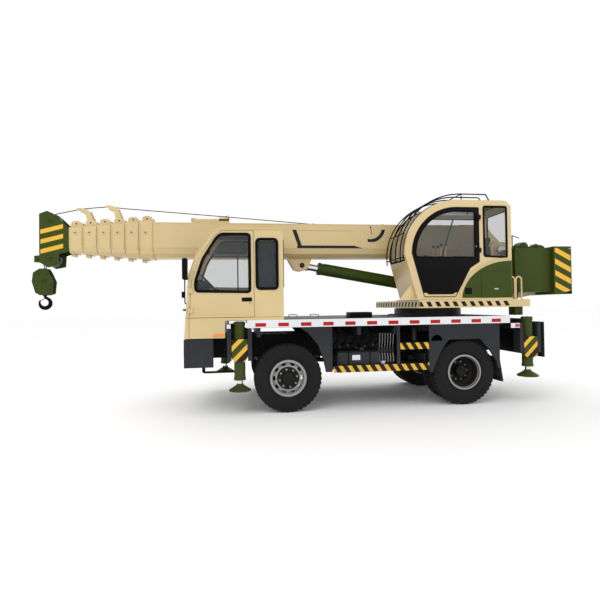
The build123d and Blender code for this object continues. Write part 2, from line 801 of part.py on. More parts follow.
# Outrigger beams with the jack barrels and striped guards, and the jack rods with pads
for leg_name, end, side, leg_x in LEGS:
    x = fx(leg_x)
    with BuildPart() as beam:
        block((x - beam_half_width, x + beam_half_width), (-side * beam_inner, side * leg_y), beam_z)
        rod((x, side * leg_y, barrel_bottom[end]), (x, side * leg_y, barrel_top), barrel_radius)
        sign_low = sign_bottom[end]
        sign_y = (side * (half_width - sign_thickness), side * half_width)
        cut = sign_width / 5
        side_prism([(x - sign_width / 2, sign_low + cut), (x - sign_width / 2 + cut, sign_low),
                    (x + sign_width / 2 - cut, sign_low), (x + sign_width / 2, sign_low + cut),
                    (x + sign_width / 2, sign_low + sign_height), (x - sign_width / 2, sign_low + sign_height)],
                   sign_y)
        block((x - 30, x + 30), (side * (leg_y + barrel_radius - 10), sign_y[0]),
              (sign_low + cut, sign_low + sign_height - cut))
        rod((x, side * leg_y, barrel_bottom[end] - 1), (x, side * leg_y, barrel_top - 60),
            jack_rod_radius + running, mode=Mode.SUBTRACT)
    save(beam, f"beam_{leg_name}")

    low = pad_bottom[end]
    with BuildPart() as jack:
        with BuildSketch(Plane(origin=(x, side * leg_y, 0), x_dir=(1, 0, 0), z_dir=(0, -1, 0))) as pad:
            with BuildLine():
                Polyline((0, low), (pad_radius, low), (pad_radius, low + pad_rim),
                         (pad_neck_radius, low + pad_height), (jack_rod_radius, low + pad_height),
                         (jack_rod_radius, barrel_top - 120), (0, barrel_top - 120), close=True)
            make_face()
        revolve(pad.sketch, axis=Axis((x, side * leg_y, 0), (0, 0, 1)))
    save(jack, f"jack_{leg_name}")

# Carrier cab: hollow, with the door opening and window openings cut
cab_outline = [
    (fx(cab_front), rail_top + seat),
    (fx(cab_step_x), rail_top + seat),
    (fx(cab_step_x), deck_top + seat),
    (fx(cab_rear), deck_top + seat),
    (fx(cab_rear), cab_roof - 60),
    (fx(cab_rear) - 60, cab_roof),
    (fx(-997), cab_roof),
    (fx(-1150), 2770),
    (fx(-1379), 2415),
    (fx(-1497), 2048),
]
cab_door_outline = [
    (fx(cab_door_x[0]), cab_door_z[0]),
    (fx(cab_door_x[1]), cab_door_z[0]),
    (fx(cab_door_x[1]), cab_door_z[1]),
    (fx(-985), cab_door_z[1]),
    (fx(-1105), 2715),
    (fx(-1325), 2385),
    (fx(-1440), 2040),
]
cab_door_window = [
    (fx(-1385), 1885),
    (fx(-572), 1869),
    (fx(-572), 2752),
    (fx(-1000), 2752),
    (fx(-1075), 2690),
    (fx(-1275), 2370),
    (fx(-1385), 2040),
]
rear_window = [(fx(-468), 1915), (fx(-152), 1915), (fx(-152), 2677), (fx(-468), 2677)]
cab_left = (-half_width, -half_width + cab_wall)
cab_right = (cab_inner_y - cab_wall, cab_inner_y)


def side_cavity(points, wall, y, mode=Mode.SUBTRACT):
    """Inside of a shell: the outline drawn in by its wall."""
    low_y, high_y = sorted(y)
    with BuildSketch(Plane.XZ.offset(-high_y)) as outline:
        with BuildLine():
            Polyline(*points, close=True)
        make_face()
        offset(amount=-wall, kind=Kind.INTERSECTION)
    extrude(outline.sketch, amount=high_y - low_y, mode=mode)


def side_opening(points, gap, y, mode=Mode.SUBTRACT, corner=0):
    """Opening through a side wall, larger than the outline by a gap."""
    low_y, high_y = sorted(y)
    with BuildSketch(Plane.XZ.offset(-high_y)) as outline:
        with BuildLine():
            Polyline(*points, close=True)
        make_face()
        if corner:
            fillet(outline.vertices(), corner)
        if gap:
            offset(amount=gap, kind=Kind.INTERSECTION)
    extrude(outline.sketch, amount=high_y - low_y, mode=mode)


windscreen_low = 2075
windscreen_high = 2740
windscreen_y = (cab_left[1] + 45, cab_right[0] - 45)
with BuildPart() as half_cab:
    side_prism(cab_outline, (-half_width, cab_inner_y))
    side_cavity(cab_outline, cab_wall, (cab_left[1], cab_right[0]))
    side_opening(cab_door_outline, door_gap, (cab_left[0] - 1, cab_left[1] + 1))
    side_opening(rear_window, 0, (cab_left[0] - 1, cab_left[1] + 1), corner=60)
    side_opening(cab_door_window, 0, (cab_right[0] - 1, cab_right[1] + 1), corner=40)
    block((fx(cab_front) - 50, fx(-1100)), windscreen_y, (windscreen_low, windscreen_high), mode=Mode.SUBTRACT)
    block((fx(cab_rear) - 2 * cab_wall, fx(cab_rear) + 1), windscreen_y, (1950, 2680), mode=Mode.SUBTRACT)
    hinge_pins(fx(cab_hinge_x), cab_hinge_z, 1)
save(half_cab, "half_cab")

# Fixed panes: windscreen, rear corner, inner side and back window
windscreen_line = [(fx(-1497), 2048), (fx(-1379), 2415), (fx(-1150), 2770)]
with BuildPart() as cab_glass:
    with BuildSketch(Plane.XZ.offset(-windscreen_y[1] + seat)) as screen:
        with BuildLine():
            Polyline((fx(-1483), 2078), (fx(-1361), 2425), (fx(-1160), 2738),
                     (fx(-1150), 2738), (fx(-1351), 2423), (fx(-1472), 2078), close=True)
        make_face()
    extrude(screen.sketch, amount=windscreen_y[1] - windscreen_y[0] - 2 * seat)
    for wall, points, corner in ((cab_left, rear_window, 60), (cab_right, cab_door_window, 40)):
        middle = (wall[0] + wall[1]) / 2
        side_opening(points, -seat, (middle - glass_thickness / 2, middle + glass_thickness / 2),
                     mode=Mode.ADD, corner=corner)
    block((fx(cab_rear) - cab_wall / 2 - glass_thickness, fx(cab_rear) - cab_wall / 2),
          (windscreen_y[0] + seat, windscreen_y[1] - seat), (1950 + seat, 2680 - seat))
save(cab_glass, "cab_glass")

with BuildPart() as cab_door:
    side_prism(cab_door_outline, cab_left)
    side_opening(cab_door_window, 0, (cab_left[0] - 1, cab_left[1] + 1), corner=40)
    hinge_barrels(fx(cab_hinge_x), cab_hinge_z, 1)
save(cab_door, "cab_door")

with BuildPart() as cab_door_glass:
    middle = (cab_left[0] + cab_left[1]) / 2
    side_opening(cab_door_window, -seat, (middle - glass_thickness / 2, middle + glass_thickness / 2),
                 mode=Mode.ADD, corner=40)
save(cab_door_glass, "cab_door_glass")

# Driver's seat, dashboard, steering column and wheel
seat_y = (-1000, -520)
column_foot = (fx(-1400), -735, 1780)
column_head = (fx(-1180), -735, 1990)
wheel_axis = Vector(*column_head) - Vector(*column_foot)
with BuildPart() as driver_station:
    block((fx(-760), fx(-330)), seat_y, (deck_top + cab_wall + 2 * seat, 1700))
    side_prism([(fx(-820), 1700), (fx(-330), 1700), (fx(-330), 1790), (fx(-820), 1800)], seat_y)
    side_prism([(fx(-400), 1785), (fx(-290), 1785), (fx(-200), 2420), (fx(-290), 2430)], seat_y)
    block((fx(-1455), fx(-1300)), (cab_left[1] + 10, cab_right[0] - seat), (1760, 1930))
    block((fx(-1455), fx(-1415)), (cab_left[1] + 10, cab_right[0] - seat), (rail_top + cab_wall + 2 * seat, 1765))
    rod(column_foot, column_head, 28)
    with Locations(Plane(origin=column_head, z_dir=wheel_axis)):
        Torus(210, 15)
        Box(400, 30, 12)
        Box(30, 400, 12)
save(driver_station, "driver_station")

# Engine hood beside the cab, with slatted grille
hood_outline = [
    (fx(cab_front), rail_top + seat),
    (fx(-1290), rail_top + seat),
    (fx(-1290), deck_top + seat),
    (fx(-130), deck_top + seat),
    (fx(-130), 1930),
    (fx(-170), 1960),
    (fx(-1400), 1990),
    (fx(-1535), 1900),
]
hood_y = (cab_inner_y + joint_gap, 1110)
with BuildPart() as engine_hood:
    side_prism(hood_outline, hood_y)
    side_cavity(hood_outline, 25, (hood_y[0] + 25, hood_y[1] - 25))
    for slat in range(9):
        block((fx(cab_front) - 1, fx(cab_front) + 12), (80, 880), (1260 + slat * 64, 1292 + slat * 64),
              mode=Mode.SUBTRACT)
save(engine_hood, "engine_hood")

# Mirrors on arms, one each side
mirror_z = (2050, 2375)
mirror_depth = 80
mirror_y = (1180, 1280)
mirror_corner = 12
mirror_arm = 20  # square bar
mirror_arm_y = (1020, 1045)
mirror_foot_z = (1690, 1715)
mirror_feet = ((LEFT, -1565, -1523.1), (RIGHT, -1585, -1542.6))  # side, bar's front, face it stands on
with BuildPart() as mirrors:
    for side, bar_x, foot_x in mirror_feet:
        bar_span = (fx(bar_x), fx(bar_x) + mirror_arm)
        arm_y = (side * mirror_arm_y[0], side * mirror_arm_y[1])
        level = mirror_z[0] + 2 * mirror_arm
        head_middle = (fx(bar_x) + mirror_depth / 2, side * (mirror_y[0] + mirror_y[1]) / 2, sum(mirror_z) / 2)
        with BuildSketch(Plane.XY.offset(mirror_z[0])) as head:
            with Locations(head_middle[:2]):
                RectangleRounded(mirror_depth, mirror_y[1] - mirror_y[0], mirror_corner)
        extrude(head.sketch, amount=mirror_z[1] - mirror_z[0])
        block(bar_span, arm_y, (mirror_foot_z[0], level + mirror_arm))
        block(bar_span, (side * mirror_arm_y[0], side * (mirror_y[0] + 2 * mirror_corner)), (level, level + mirror_arm))
        block((fx(bar_x), fx(foot_x)), arm_y, mirror_foot_z)
save(mirrors, "mirrors")

# Turntable: skirted deck, centre boss, side plates that carry the boom pivot
table_plan = [
    (fx(table_x[0]), -half_width),
    (fx(table_x[1]), -half_width),
    (fx(table_tail), -table_tail_half),
    (fx(table_tail), table_tail_half),
    (fx(table_x[1]), half_width),
    (fx(table_x[0]), half_width),
]
side_plate_outline = [
    (fx(2650), table_z[1]),
    (fx(2760), 2020),
    (fx(2960), 2020),
    (fx(3450), 2160),
    (fx(3860), 2700),
    (fx(3950), 2775),
    (fx(4150), 2775),
    (fx(4270), 2670),
    (fx(4640), 2670),
    (fx(weight_front), 2560),
    (fx(weight_front), 1800),
    (fx(4250), table_z[1]),
]
with BuildPart() as turntable:
    plan_prism(table_plan, table_z)
    block((fx(table_x[0]) + table_plate, fx(table_tail) - 4 * table_plate), (-table_tail_half + 60, table_tail_half - 60),
          (table_z[0], table_z[1] - table_plate), mode=Mode.SUBTRACT)
    with BuildSketch(Plane.XY.offset(ring_top + seat)) as boss:
        with Locations((fx(slew_x), 0)):
            Circle(ring_outer - 30)
            Circle(ring_inner, mode=Mode.SUBTRACT)
    extrude(boss.sketch, amount=table_z[1] - table_plate - ring_top)
    for side in (LEFT, RIGHT):
        plate_y = (side * side_plate_y[0], side * side_plate_y[1])
        side_prism(side_plate_outline, plate_y)
        rod((fx(boom_pivot_x), side * side_plate_y[0], boom_pivot_z),
            (fx(boom_pivot_x), side * (side_plate_y[1] + 20), boom_pivot_z), pivot_boss)
        rod((fx(luff_base_x), side * (luff_eye_half + 10), luff_base_z),
            (fx(luff_base_x), side * (luff_eye_half + 50), luff_base_z), 95)
        block((fx(luff_base_x) - 95, fx(luff_base_x) + 95), (side * (luff_eye_half + 10), side * (luff_eye_half + 50)),
              (table_z[1] - 1, luff_base_z))
    for hoop_x in hoop_places:
        start = (fx(hoop_x), table_z[1] - 1)
        end = (fx(hoop_x) + hoop_width, table_z[1] - 1)
        shoulder = hoop_top - hoop_width / 2
        with BuildLine(Plane.XZ.offset(hoop_y)) as hoop:
            Line(start, (start[0], shoulder))
            ThreePointArc((start[0], shoulder), (start[0] + hoop_width / 2, hoop_top), (end[0], shoulder))
            Line((end[0], shoulder), end)
        with BuildSketch(Plane(origin=(start[0], -hoop_y, start[1]), z_dir=(0, 0, 1))) as section:
            Circle(hoop_radius)
        sweep(section.sketch, path=hoop.wires()[0])
    rod((fx(boom_pivot_x), -side_plate_y[1] - 35, boom_pivot_z),
        (fx(boom_pivot_x), side_plate_y[1] + 35, boom_pivot_z), pivot_radius)
    rod((fx(luff_base_x), -luff_eye_half - 60, luff_base_z),
        (fx(luff_base_x), luff_eye_half + 60, luff_base_z), luff_pin_radius)
    block((fx(4660), fx(weight_front)), (-side_plate_y[0], side_plate_y[0]), (1800, 2240))
    block((fx(3460), fx(3500)), (-side_plate_y[0], side_plate_y[0]), (table_z[1] - 1, 2120))
save(turntable, "turntable")

# Operator cab: bowed front, hollow
op_z = (table_z[1] + seat, 3335)
op_foot_x = 2100
op_bow_x = 2780  # centre of the bowed front
op_bow_z = 2450
op_bow_radius = op_z[1] - op_bow_z
op_roof_corner = (90, 80)


def bow(radius, angle):
    """Point on a circle about the bow's centre, at an angle up from the front."""
    turn = math.radians(angle)
    return (fx(op_bow_x) - radius * math.cos(turn), op_bow_z + radius * math.sin(turn))


def op_outline(inset=0):
    """Side outline of the operator cab, drawn in by an amount."""
    with BuildSketch(Plane.XZ) as outline:
        with BuildLine():
            low_front = (fx(op_foot_x), op_z[0])
            Line(low_front, bow(op_bow_radius, 0))
            ThreePointArc(bow(op_bow_radius, 0), bow(op_bow_radius, 45), bow(op_bow_radius, 90))
            Polyline(bow(op_bow_radius, 90), (fx(op_rear) - op_roof_corner[0], op_z[1]),
                     (fx(op_rear), op_z[1] - op_roof_corner[1]), (fx(op_rear), op_z[0]), low_front)
        make_face()
        if inset:
            offset(amount=-inset, kind=Kind.INTERSECTION)
    return outline.sketch


def op_slice(sketch, y, mode=Mode.ADD):
    """Extrude a centred side sketch between two Y limits."""
    low_y, high_y = sorted(y)
    extrude(Pos(0, high_y, 0) * sketch, amount=high_y - low_y, dir=(0, -1, 0), mode=mode)


def op_panel(inset, limits, gap=0):
    """Sketch inside both the cab's drawn-in outline and a polygon, let out by a gap."""
    with BuildSketch(Plane.XZ) as limit:
        with BuildLine():
            Polyline(*[(fx(x), z) for x, z in limits], close=True)
        make_face()
        if gap:
            offset(amount=gap, kind=Kind.INTERSECTION)
    return op_outline(inset - gap) & limit.sketch


op_door_rim = 120  # cab's edge to the door
op_glass_rim = 180  # cab's edge to the door's glass
op_door_low = 1762
op_door_top = 3245
op_nose = 1800  # ahead of everything on the cab
op_door_limits = [
    (op_nose, op_door_low),
    (2740, op_door_low),
    (3000, 2230),
    (op_door_rear, 2330),
    (op_door_rear, op_door_top),
    (op_nose, op_door_top),
]
op_glass_limits = [(op_nose, 2400), (3095, 2400), (3095, 3180), (op_nose, 3180)]
op_rear_window = [(3250, 2420), (3650, 2400), (3650, 3235), (3250, 3235)]
op_left = (-half_width, -half_width + op_wall)
op_right = (op_inner_y - op_wall, op_inner_y)
op_rear_outline = [(fx(x), z) for x, z in op_rear_window]
op_screen_y = (op_left[1] + 40, op_right[0] - 40)
op_window_back = 2420
op_screen_low = 2345
with BuildPart() as operator_cab:
    op_slice(op_outline(), (op_left[0], op_right[1]))
    op_slice(op_outline(op_wall), (op_left[1], op_right[0]), mode=Mode.SUBTRACT)
    op_slice(op_panel(op_door_rim, op_door_limits, door_gap), (op_left[0] - 1, op_left[1] + 1), mode=Mode.SUBTRACT)
    side_opening(op_rear_outline, 0, (op_left[0] - 1, op_left[1] + 1), corner=30)
    side_opening([(fx(2200), 2450), (fx(3600), 2450), (fx(3600), 3180), (fx(2560), 3180), (fx(2280), 2960)],
                 0, (op_right[0] - 1, op_right[1] + 1), corner=40)
    block((fx(op_nose), fx(op_window_back)), op_screen_y, (op_screen_low, op_z[1] + 1), mode=Mode.SUBTRACT)
    block((fx(op_rear) - 2 * op_wall, fx(op_rear) + 1), op_screen_y, (2450, 3200), mode=Mode.SUBTRACT)
    hinge_pins(fx(op_hinge_x), op_hinge_z, -1)
save(operator_cab, "operator_cab")

with BuildPart() as operator_glass:
    op_slice(op_outline(op_wall / 2), (op_screen_y[0] + seat, op_screen_y[1] - seat))
    op_slice(op_outline(op_wall / 2 + glass_thickness), (op_screen_y[0] - 1, op_screen_y[1] + 1), mode=Mode.SUBTRACT)
    block((fx(op_window_back) - seat, fx(op_rear) + 1), op_screen_y, (op_z[0] - 1, op_z[1] + 1), mode=Mode.SUBTRACT)
    block((fx(op_nose), fx(op_rear) + 1), op_screen_y, (op_z[0] - 1, op_screen_low + seat), mode=Mode.SUBTRACT)
    middle = (op_left[0] + op_left[1]) / 2
    side_opening(op_rear_outline, -seat, (middle - glass_thickness / 2, middle + glass_thickness / 2),
                 mode=Mode.ADD, corner=30)
    middle = (op_right[0] + op_right[1]) / 2
    side_opening([(fx(2200), 2450), (fx(3600), 2450), (fx(3600), 3180), (fx(2560), 3180), (fx(2280), 2960)],
                 -seat, (middle - glass_thickness / 2, middle + glass_thickness / 2), mode=Mode.ADD, corner=40)
    block((fx(op_rear) - op_wall / 2 - glass_thickness, fx(op_rear) - op_wall / 2),
          (op_screen_y[0] + seat, op_screen_y[1] - seat), (2450 + seat, 3200 - seat))
save(operator_glass, "operator_glass")

with BuildPart() as operator_door:
    op_slice(op_panel(op_door_rim, op_door_limits), op_left)
    op_slice(op_panel(op_glass_rim, op_glass_limits), (op_left[0] - 1, op_left[1] + 1), mode=Mode.SUBTRACT)
    hinge_barrels(fx(op_hinge_x), op_hinge_z, -1)
save(operator_door, "operator_door")

with BuildPart() as operator_door_glass:
    middle = (op_left[0] + op_left[1]) / 2
    op_slice(op_panel(op_glass_rim, op_glass_limits, -seat),
             (middle - glass_thickness / 2, middle + glass_thickness / 2))
save(operator_door_glass, "operator_door_glass")

# Operator seat with console
op_seat_x = (2900, 3420)
op_seat_y = (-1000, -520)
op_pedestal_y = (-960, -560)
op_cushion_z = (2050, 2145)
op_back_top = (3560, 2785)
op_back_thickness = 95
op_cushion_corner = 25
op_console_x = (2250, 2400)
op_console_top = 2280
with BuildPart() as operator_seat:
    floor = op_z[0] + op_wall + seat
    block((fx(op_seat_x[0]) + op_back_thickness, fx(op_seat_x[1]) - op_back_thickness / 2), op_pedestal_y,
          (floor, op_cushion_z[0] + 1))
    side_prism([(fx(op_seat_x[0]), op_cushion_z[0]), (fx(op_seat_x[1]), op_cushion_z[0]),
                (fx(op_seat_x[1]), op_cushion_z[1]), (fx(op_seat_x[0]), op_cushion_z[1])],
               op_seat_y, corner=op_cushion_corner)
    side_prism([(fx(op_seat_x[1]) - op_back_thickness, op_cushion_z[1] - op_cushion_corner),
                (fx(op_seat_x[1]), op_cushion_z[1] - op_cushion_corner),
                (fx(op_back_top[0]), op_back_top[1]), (fx(op_back_top[0]) - op_back_thickness, op_back_top[1])],
               op_seat_y, corner=op_cushion_corner)
    block((fx(op_console_x[0]), fx(op_console_x[1])), op_pedestal_y, (floor, op_console_top))
save(operator_seat, "operator_seat")

# Guard bars over the operator cab's front glass and roof
bar_radius = 11
rung_radius = 9
bar_places = (-1085, -867, -648, -430)
bar_foot = (1640, 2336)
bar_front = (1729, 2658)
bar_shoulder = (2017, 3065)
bar_crown = (2460, 3304)
bar_top = (2941, 3450)
bar_top_rear = (3330, 3450)
bar_end_x = 3395
foot_bar = (1650, 2400)  # on the bars' curve a little above their ends
rung_points = (foot_bar, (1836, 2853), bar_shoulder, bar_top)
bar_end_z = op_z[1] + bar_radius / 2 + seat
cab_slope = (fx(op_foot_x) - bow(op_bow_radius, 0)[0]) / (op_bow_z - op_z[0])
foot_end_x = bow(op_bow_radius, 0)[0] + (op_bow_z - foot_bar[1] - rung_radius) * cab_slope - seat
with BuildPart() as guard_bars:
    for bar_y in bar_places:
        with BuildLine(Plane.XZ.offset(-bar_y)) as bar_path:
            foot, front, shoulder, crown, top, top_rear = [
                (fx(x), z) for x, z in (bar_foot, bar_front, bar_shoulder, bar_crown, bar_top, bar_top_rear)]
            ThreePointArc(foot, front, shoulder)
            ThreePointArc(shoulder, crown, top)
            Line(top, top_rear)
            Line(top_rear, (fx(bar_end_x), bar_end_z))
        first = bar_path.edges().sort_by(Axis.X)[0]
        with BuildSketch(Plane(origin=first @ 0, z_dir=first % 0)) as section:
            RegularPolygon(bar_radius, 8)
        sweep(section.sketch, path=bar_path.wires()[0], transition=Transition.RIGHT)
    for x, z in rung_points:
        rod((fx(x), bar_places[0], z), (fx(x), bar_places[-1], z), rung_radius)
    for bar_y in (bar_places[0], bar_places[-1]):
        rod((fx(foot_bar[0]), bar_y, foot_bar[1]), (foot_end_x, bar_y, foot_bar[1]), rung_radius)
save(guard_bars, "guard_bars")

# Rear housings each side of the winch bay, and the counterweight
with BuildPart() as rear_housings:
    for side in (LEFT, RIGHT):
        block((fx(housing_x[0]), fx(housing_x[1]) - seat), (side * (side_plate_y[1] + 40 + seat), side * housing_y), housing_z)
        block((fx(housing_x[0]) + 200, fx(housing_x[1]) - seat), (side * (side_plate_y[1] + seat), side * (side_plate_y[1] + 60)),
              (housing_z[0], 2200))
save(rear_housings, "rear_housings")

with BuildPart() as counterweight:
    block((fx(weight_front) + seat, fx(reach_rear)), (-weight_half, weight_half), weight_z)
    block((fx(weight_front) - 1, fx(reach_rear) + 1), (-weight_recess_half, weight_recess_half),
          (weight_recess_z, weight_z[1] + 1), mode=Mode.SUBTRACT)
    for hand in (-1, 1):
        block((fx(second_winch_x) - 60, fx(second_winch_x) + 60),
              (hand * (weight_recess_half - 40), hand * weight_recess_half), (weight_recess_z - 1, second_winch_z + 60))
        rod((fx(second_winch_x), hand * 240, second_winch_z), (fx(second_winch_x), hand * 222, second_winch_z),
            second_winch_flange)
    rod((fx(second_winch_x), -235, second_winch_z), (fx(second_winch_x), 235, second_winch_z), 95)
    rod((fx(second_winch_x), -weight_recess_half + 20, second_winch_z),
        (fx(second_winch_x), weight_recess_half - 20, second_winch_z), 35)
save(counterweight, "counterweight")

# Winches: the hoist drum turns, the second one stands in the counterweight's recess
with BuildPart() as winch:
    for hand in (-1, 1):
        rod((fx(winch_x), hand * winch_half, winch_z), (fx(winch_x), hand * (winch_half - 20), winch_z), winch_flange)
    rod((fx(winch_x), -winch_half, winch_z), (fx(winch_x), winch_half, winch_z), winch_drum)
    rod((fx(winch_x), -side_plate_y[0] + seat, winch_z), (fx(winch_x), side_plate_y[0] - seat, winch_z), 45)
save(winch, "winch")


# Boom sections
def boom_face(draw_in=0):
    """Folded cross-section of the boom, drawn in or let out by an amount."""
    b, h = boom_half_width, boom_half_height
    half = [(b, h), (b, -h * 0.45), (b * 0.88, -h * 0.76), (b * 0.62, -h * 0.95), (b * 0.36, -h)]
    points = half + [(-y, z) for y, z in reversed(half)]
    with BuildSketch(Plane.YZ) as outline:
        with BuildLine():
            Polyline(*points, close=True)
        make_face()
        if draw_in:
            offset(amount=-draw_in, kind=Kind.INTERSECTION)
    return outline.sketch


def boom_shell(x, outer, inner, mode=Mode.ADD):
    """Closed tube between two X limits, from one drawn-in outline to another."""
    low_x, high_x = sorted(x)
    ring = boom_face(outer) - boom_face(inner)
    extrude(Pos(low_x, 0, boom_z) * ring, amount=high_x - low_x, mode=mode)


EARS = {2: 3396, 4: 3342}  # rope guide ears: section number and height of the tip


def boom_section(number):
    """One section with its collar, arch lugs, foot and slide pads."""
    draw = number * boom_step
    front = fx(collar_front - number * collar_pitch)
    back = fx(boom_tail if number == 0 else section_tail - number * tail_step)
    top = boom_z + boom_half_height - draw
    low = boom_z - boom_half_height + draw
    boom_shell((front, back), draw, draw + boom_wall)
    boom_shell((front, front + collar_length), draw - collar_thickness, draw + boom_wall)
    for side in (LEFT, RIGHT):
        lug_y = (side * arch_y[0], side * arch_y[1])
        base = top + collar_thickness - 1
        points = [(front + 10, base), (front + collar_length, base), (front + 175, base + arch_height * 0.85),
                  (front + 130, base + arch_height), (front + 70, base + arch_height),
                  (front + 22, base + arch_height * 0.8)]
        side_prism(points, lug_y)
        if number in EARS:
            tip = EARS[number]
            side_prism([(front + 70, base + 20), (front + 170, base + 20), (front + 60, tip - 30),
                        (front - 60, tip), (front - 110, tip), (front - 125, tip - 30), (front - 60, tip - 60),
                        (front + 10, tip - 90)], lug_y)
        flank = boom_half_width - draw + collar_thickness
        rod((front + collar_middle, side * (flank - 1), boss_z),
            (front + collar_middle, side * (flank + boss_height), boss_z), boss_radius)
    rod((front + collar_middle, -arch_y[0] - 1, top + collar_thickness + arch_height * 0.6),
        (front + collar_middle, arch_y[0] + 1, top + collar_thickness + arch_height * 0.6), 24)
    block((front + 5, front + 65), (-70, 70), (low - collar_thickness - 45, low - collar_thickness + 1))
    if number < section_count:
        block((front + 20, front + 20 + pad_length), (-pad_half_width, pad_half_width),
              (low + boom_wall - 1, low + boom_step - seat))
    if number > 0:
        block((back - pad_length - 20, back - 20), (-pad_half_width, pad_half_width),
              (top - 1, top + boom_gap - seat))


tail_plate_y = 262
tail_outline = [
    (fx(3300), 2480),
    (fx(4080), 2480),
    (fx(4150), 2540),
    (fx(4170), 2640),
    (fx(4130), 2740),
    (fx(3780), 3100),
    (fx(3300), 3100),
]
with BuildPart() as boom_base:
    boom_section(0)
    side_prism(tail_outline, (boom_half_width - boom_wall, tail_plate_y))
    side_prism(tail_outline, (-tail_plate_y, -boom_half_width + boom_wall))
    block((fx(boom_tail), fx(4100)), (-boom_half_width, boom_half_width), (2510, 2530))
    for side in (LEFT, RIGHT):
        rod((fx(boom_pivot_x), side * (boom_half_width - boom_wall), boom_pivot_z),
            (fx(boom_pivot_x), side * (side_plate_y[0] - 5), boom_pivot_z), pivot_boss)
        ear_y = (side * (luff_eye_half + 5), side * (luff_eye_half + 45))
        side_prism([(fx(120), 2495), (fx(560), 2495), (fx(470), 2300), (fx(330), 2270), (fx(230), 2300)], ear_y)
    rod((fx(boom_pivot_x), -side_plate_y[0], boom_pivot_z), (fx(boom_pivot_x), side_plate_y[0], boom_pivot_z),
        pivot_radius + running, mode=Mode.SUBTRACT)
    block((fx(-1549), fx(-902)), (-110, 110), (boom_z + boom_half_height - 1, 3150))
save(boom_base, "boom_base")

for number in range(1, section_count + 1):
    with BuildPart() as section:
        boom_section(number)
    save(section, f"boom_section_{number}")

# Boom head: two cheek plates, upper sheave, nose lug
head_outline = [
    (fx(head_front), 3225),
    (fx(-3870), 3275),
    (fx(-3780), 3235),
    (fx(-3560), 3020),
    (fx(-3560), 2600),
    (fx(-3690), 2560),
    (fx(-3700), 2370),
    (fx(-3860), 2340),
    (fx(-3985), 2420),
    (fx(-4070), 2425),
    (fx(-4070), 2530),
    (fx(head_front), 2540),
]
section_front = fx(collar_front - section_count * collar_pitch)
with BuildPart() as boom_head:
    for side in (LEFT, RIGHT):
        side_prism(head_outline, (side * head_plate_y[0], side * head_plate_y[1]))
    head_low = boom_z - boom_half_height + section_count * boom_step
    block((section_front - 28, section_front - seat), (-head_plate_y[1] + 1, head_plate_y[1] - 1),
          (head_low + 20, boom_z + boom_half_height - section_count * boom_step))
    rod((fx(-3830), -head_plate_y[0] - 1, 3120), (fx(-3830), head_plate_y[0] + 1, 3120), 30)
    rod((fx(-3830), -50, 3120), (fx(-3830), 50, 3120), 130)
    block((fx(-3720), fx(-3560)), (-head_plate_y[0] - 1, head_plate_y[0] + 1), (2640, 2660))
save(boom_head, "boom_head")

# Lower head sheave with the start of the rope falls
fall_y = 36
fall_radius = 8
with BuildPart() as hoist_falls:
    rod((fx(head_sheave_x), -head_plate_y[0] + seat, head_sheave_z),
        (fx(head_sheave_x), head_plate_y[0] - seat, head_sheave_z), 28)
    rod((fx(head_sheave_x), -55, head_sheave_z), (fx(head_sheave_x), 55, head_sheave_z), head_sheave_radius)
    for side in (LEFT, RIGHT):
        rod((fx(block_centre_x), side * fall_y, block_top + seat), (fx(block_centre_x), side * fall_y, head_sheave_z),
            fall_radius)
save(hoist_falls, "hoist_falls")

block_outline = [
    (fx(-4030), block_top),
    (fx(-3925), block_top),
    (fx(-3885), 2270),
    (fx(-3815), 2110),
    (fx(-3835), 1910),
    (fx(-3915), block_bottom),
    (fx(-4025), block_bottom),
    (fx(-4095), 1925),
    (fx(-reach_front), 2110),
    (fx(-4130), 2265),
]
with BuildPart() as hook_block:
    for side in (LEFT, RIGHT):
        side_prism(block_outline, (side * block_plate_y[0], side * block_plate_y[1]))
    rod((fx(-3975), -block_plate_y[0] - 1, 2120), (fx(-3975), block_plate_y[0] + 1, 2120), 120)
    block((fx(-4040), fx(-3910)), (-block_plate_y[0] - 1, block_plate_y[0] + 1), (1925, 1985))
    block((fx(-4020), fx(-3930)), (-block_plate_y[0] - 1, block_plate_y[0] + 1), (block_top - 40, block_top))
    rod((fx(-3975), 0, 1900), (fx(-3975), 0, 1990), 24 + running, mode=Mode.SUBTRACT)
save(hook_block, "hook_block")

# Hook: a shank and a bowl open at the front
hook_x = fx(-3975)
with BuildPart() as hook:
    with BuildSketch(Plane.XZ.offset(-hook_thickness / 2)) as bowl:
        with Locations((hook_x, hook_z)):
            Circle(hook_outer)
            Circle(hook_inner, mode=Mode.SUBTRACT)
        with BuildLine():
            Polyline((hook_x, hook_z), (hook_x - 260, hook_z + 120), (hook_x - 90, hook_z + 300), close=True)
        make_face(mode=Mode.SUBTRACT)
    extrude(bowl.sketch, amount=hook_thickness)
    rod((hook_x, 0, hook_z + hook_inner + 20), (hook_x, 0, 1984), 24)
save(hook, "hook")

# Luffing cylinder: barrel on the turntable, rod to the bracket under the boom
luff_axis = (Vector(fx(luff_eye_x), 0, luff_eye_z) - Vector(fx(luff_base_x), 0, luff_base_z))
luff_length = luff_axis.length
luff_dir = luff_axis.normalized()
luff_base = Vector(fx(luff_base_x), 0, luff_base_z)


def on_luff(distance):
    """Point on the cylinder's axis, measured from its base pin."""
    point = luff_base + luff_dir * distance
    return (point.X, point.Y, point.Z)


def luff_cross_pin(centre, half, radius, mode=Mode.ADD):
    """Round bar across the cylinder."""
    rod((centre[0], -half, centre[2]), (centre[0], half, centre[2]), radius, mode=mode)


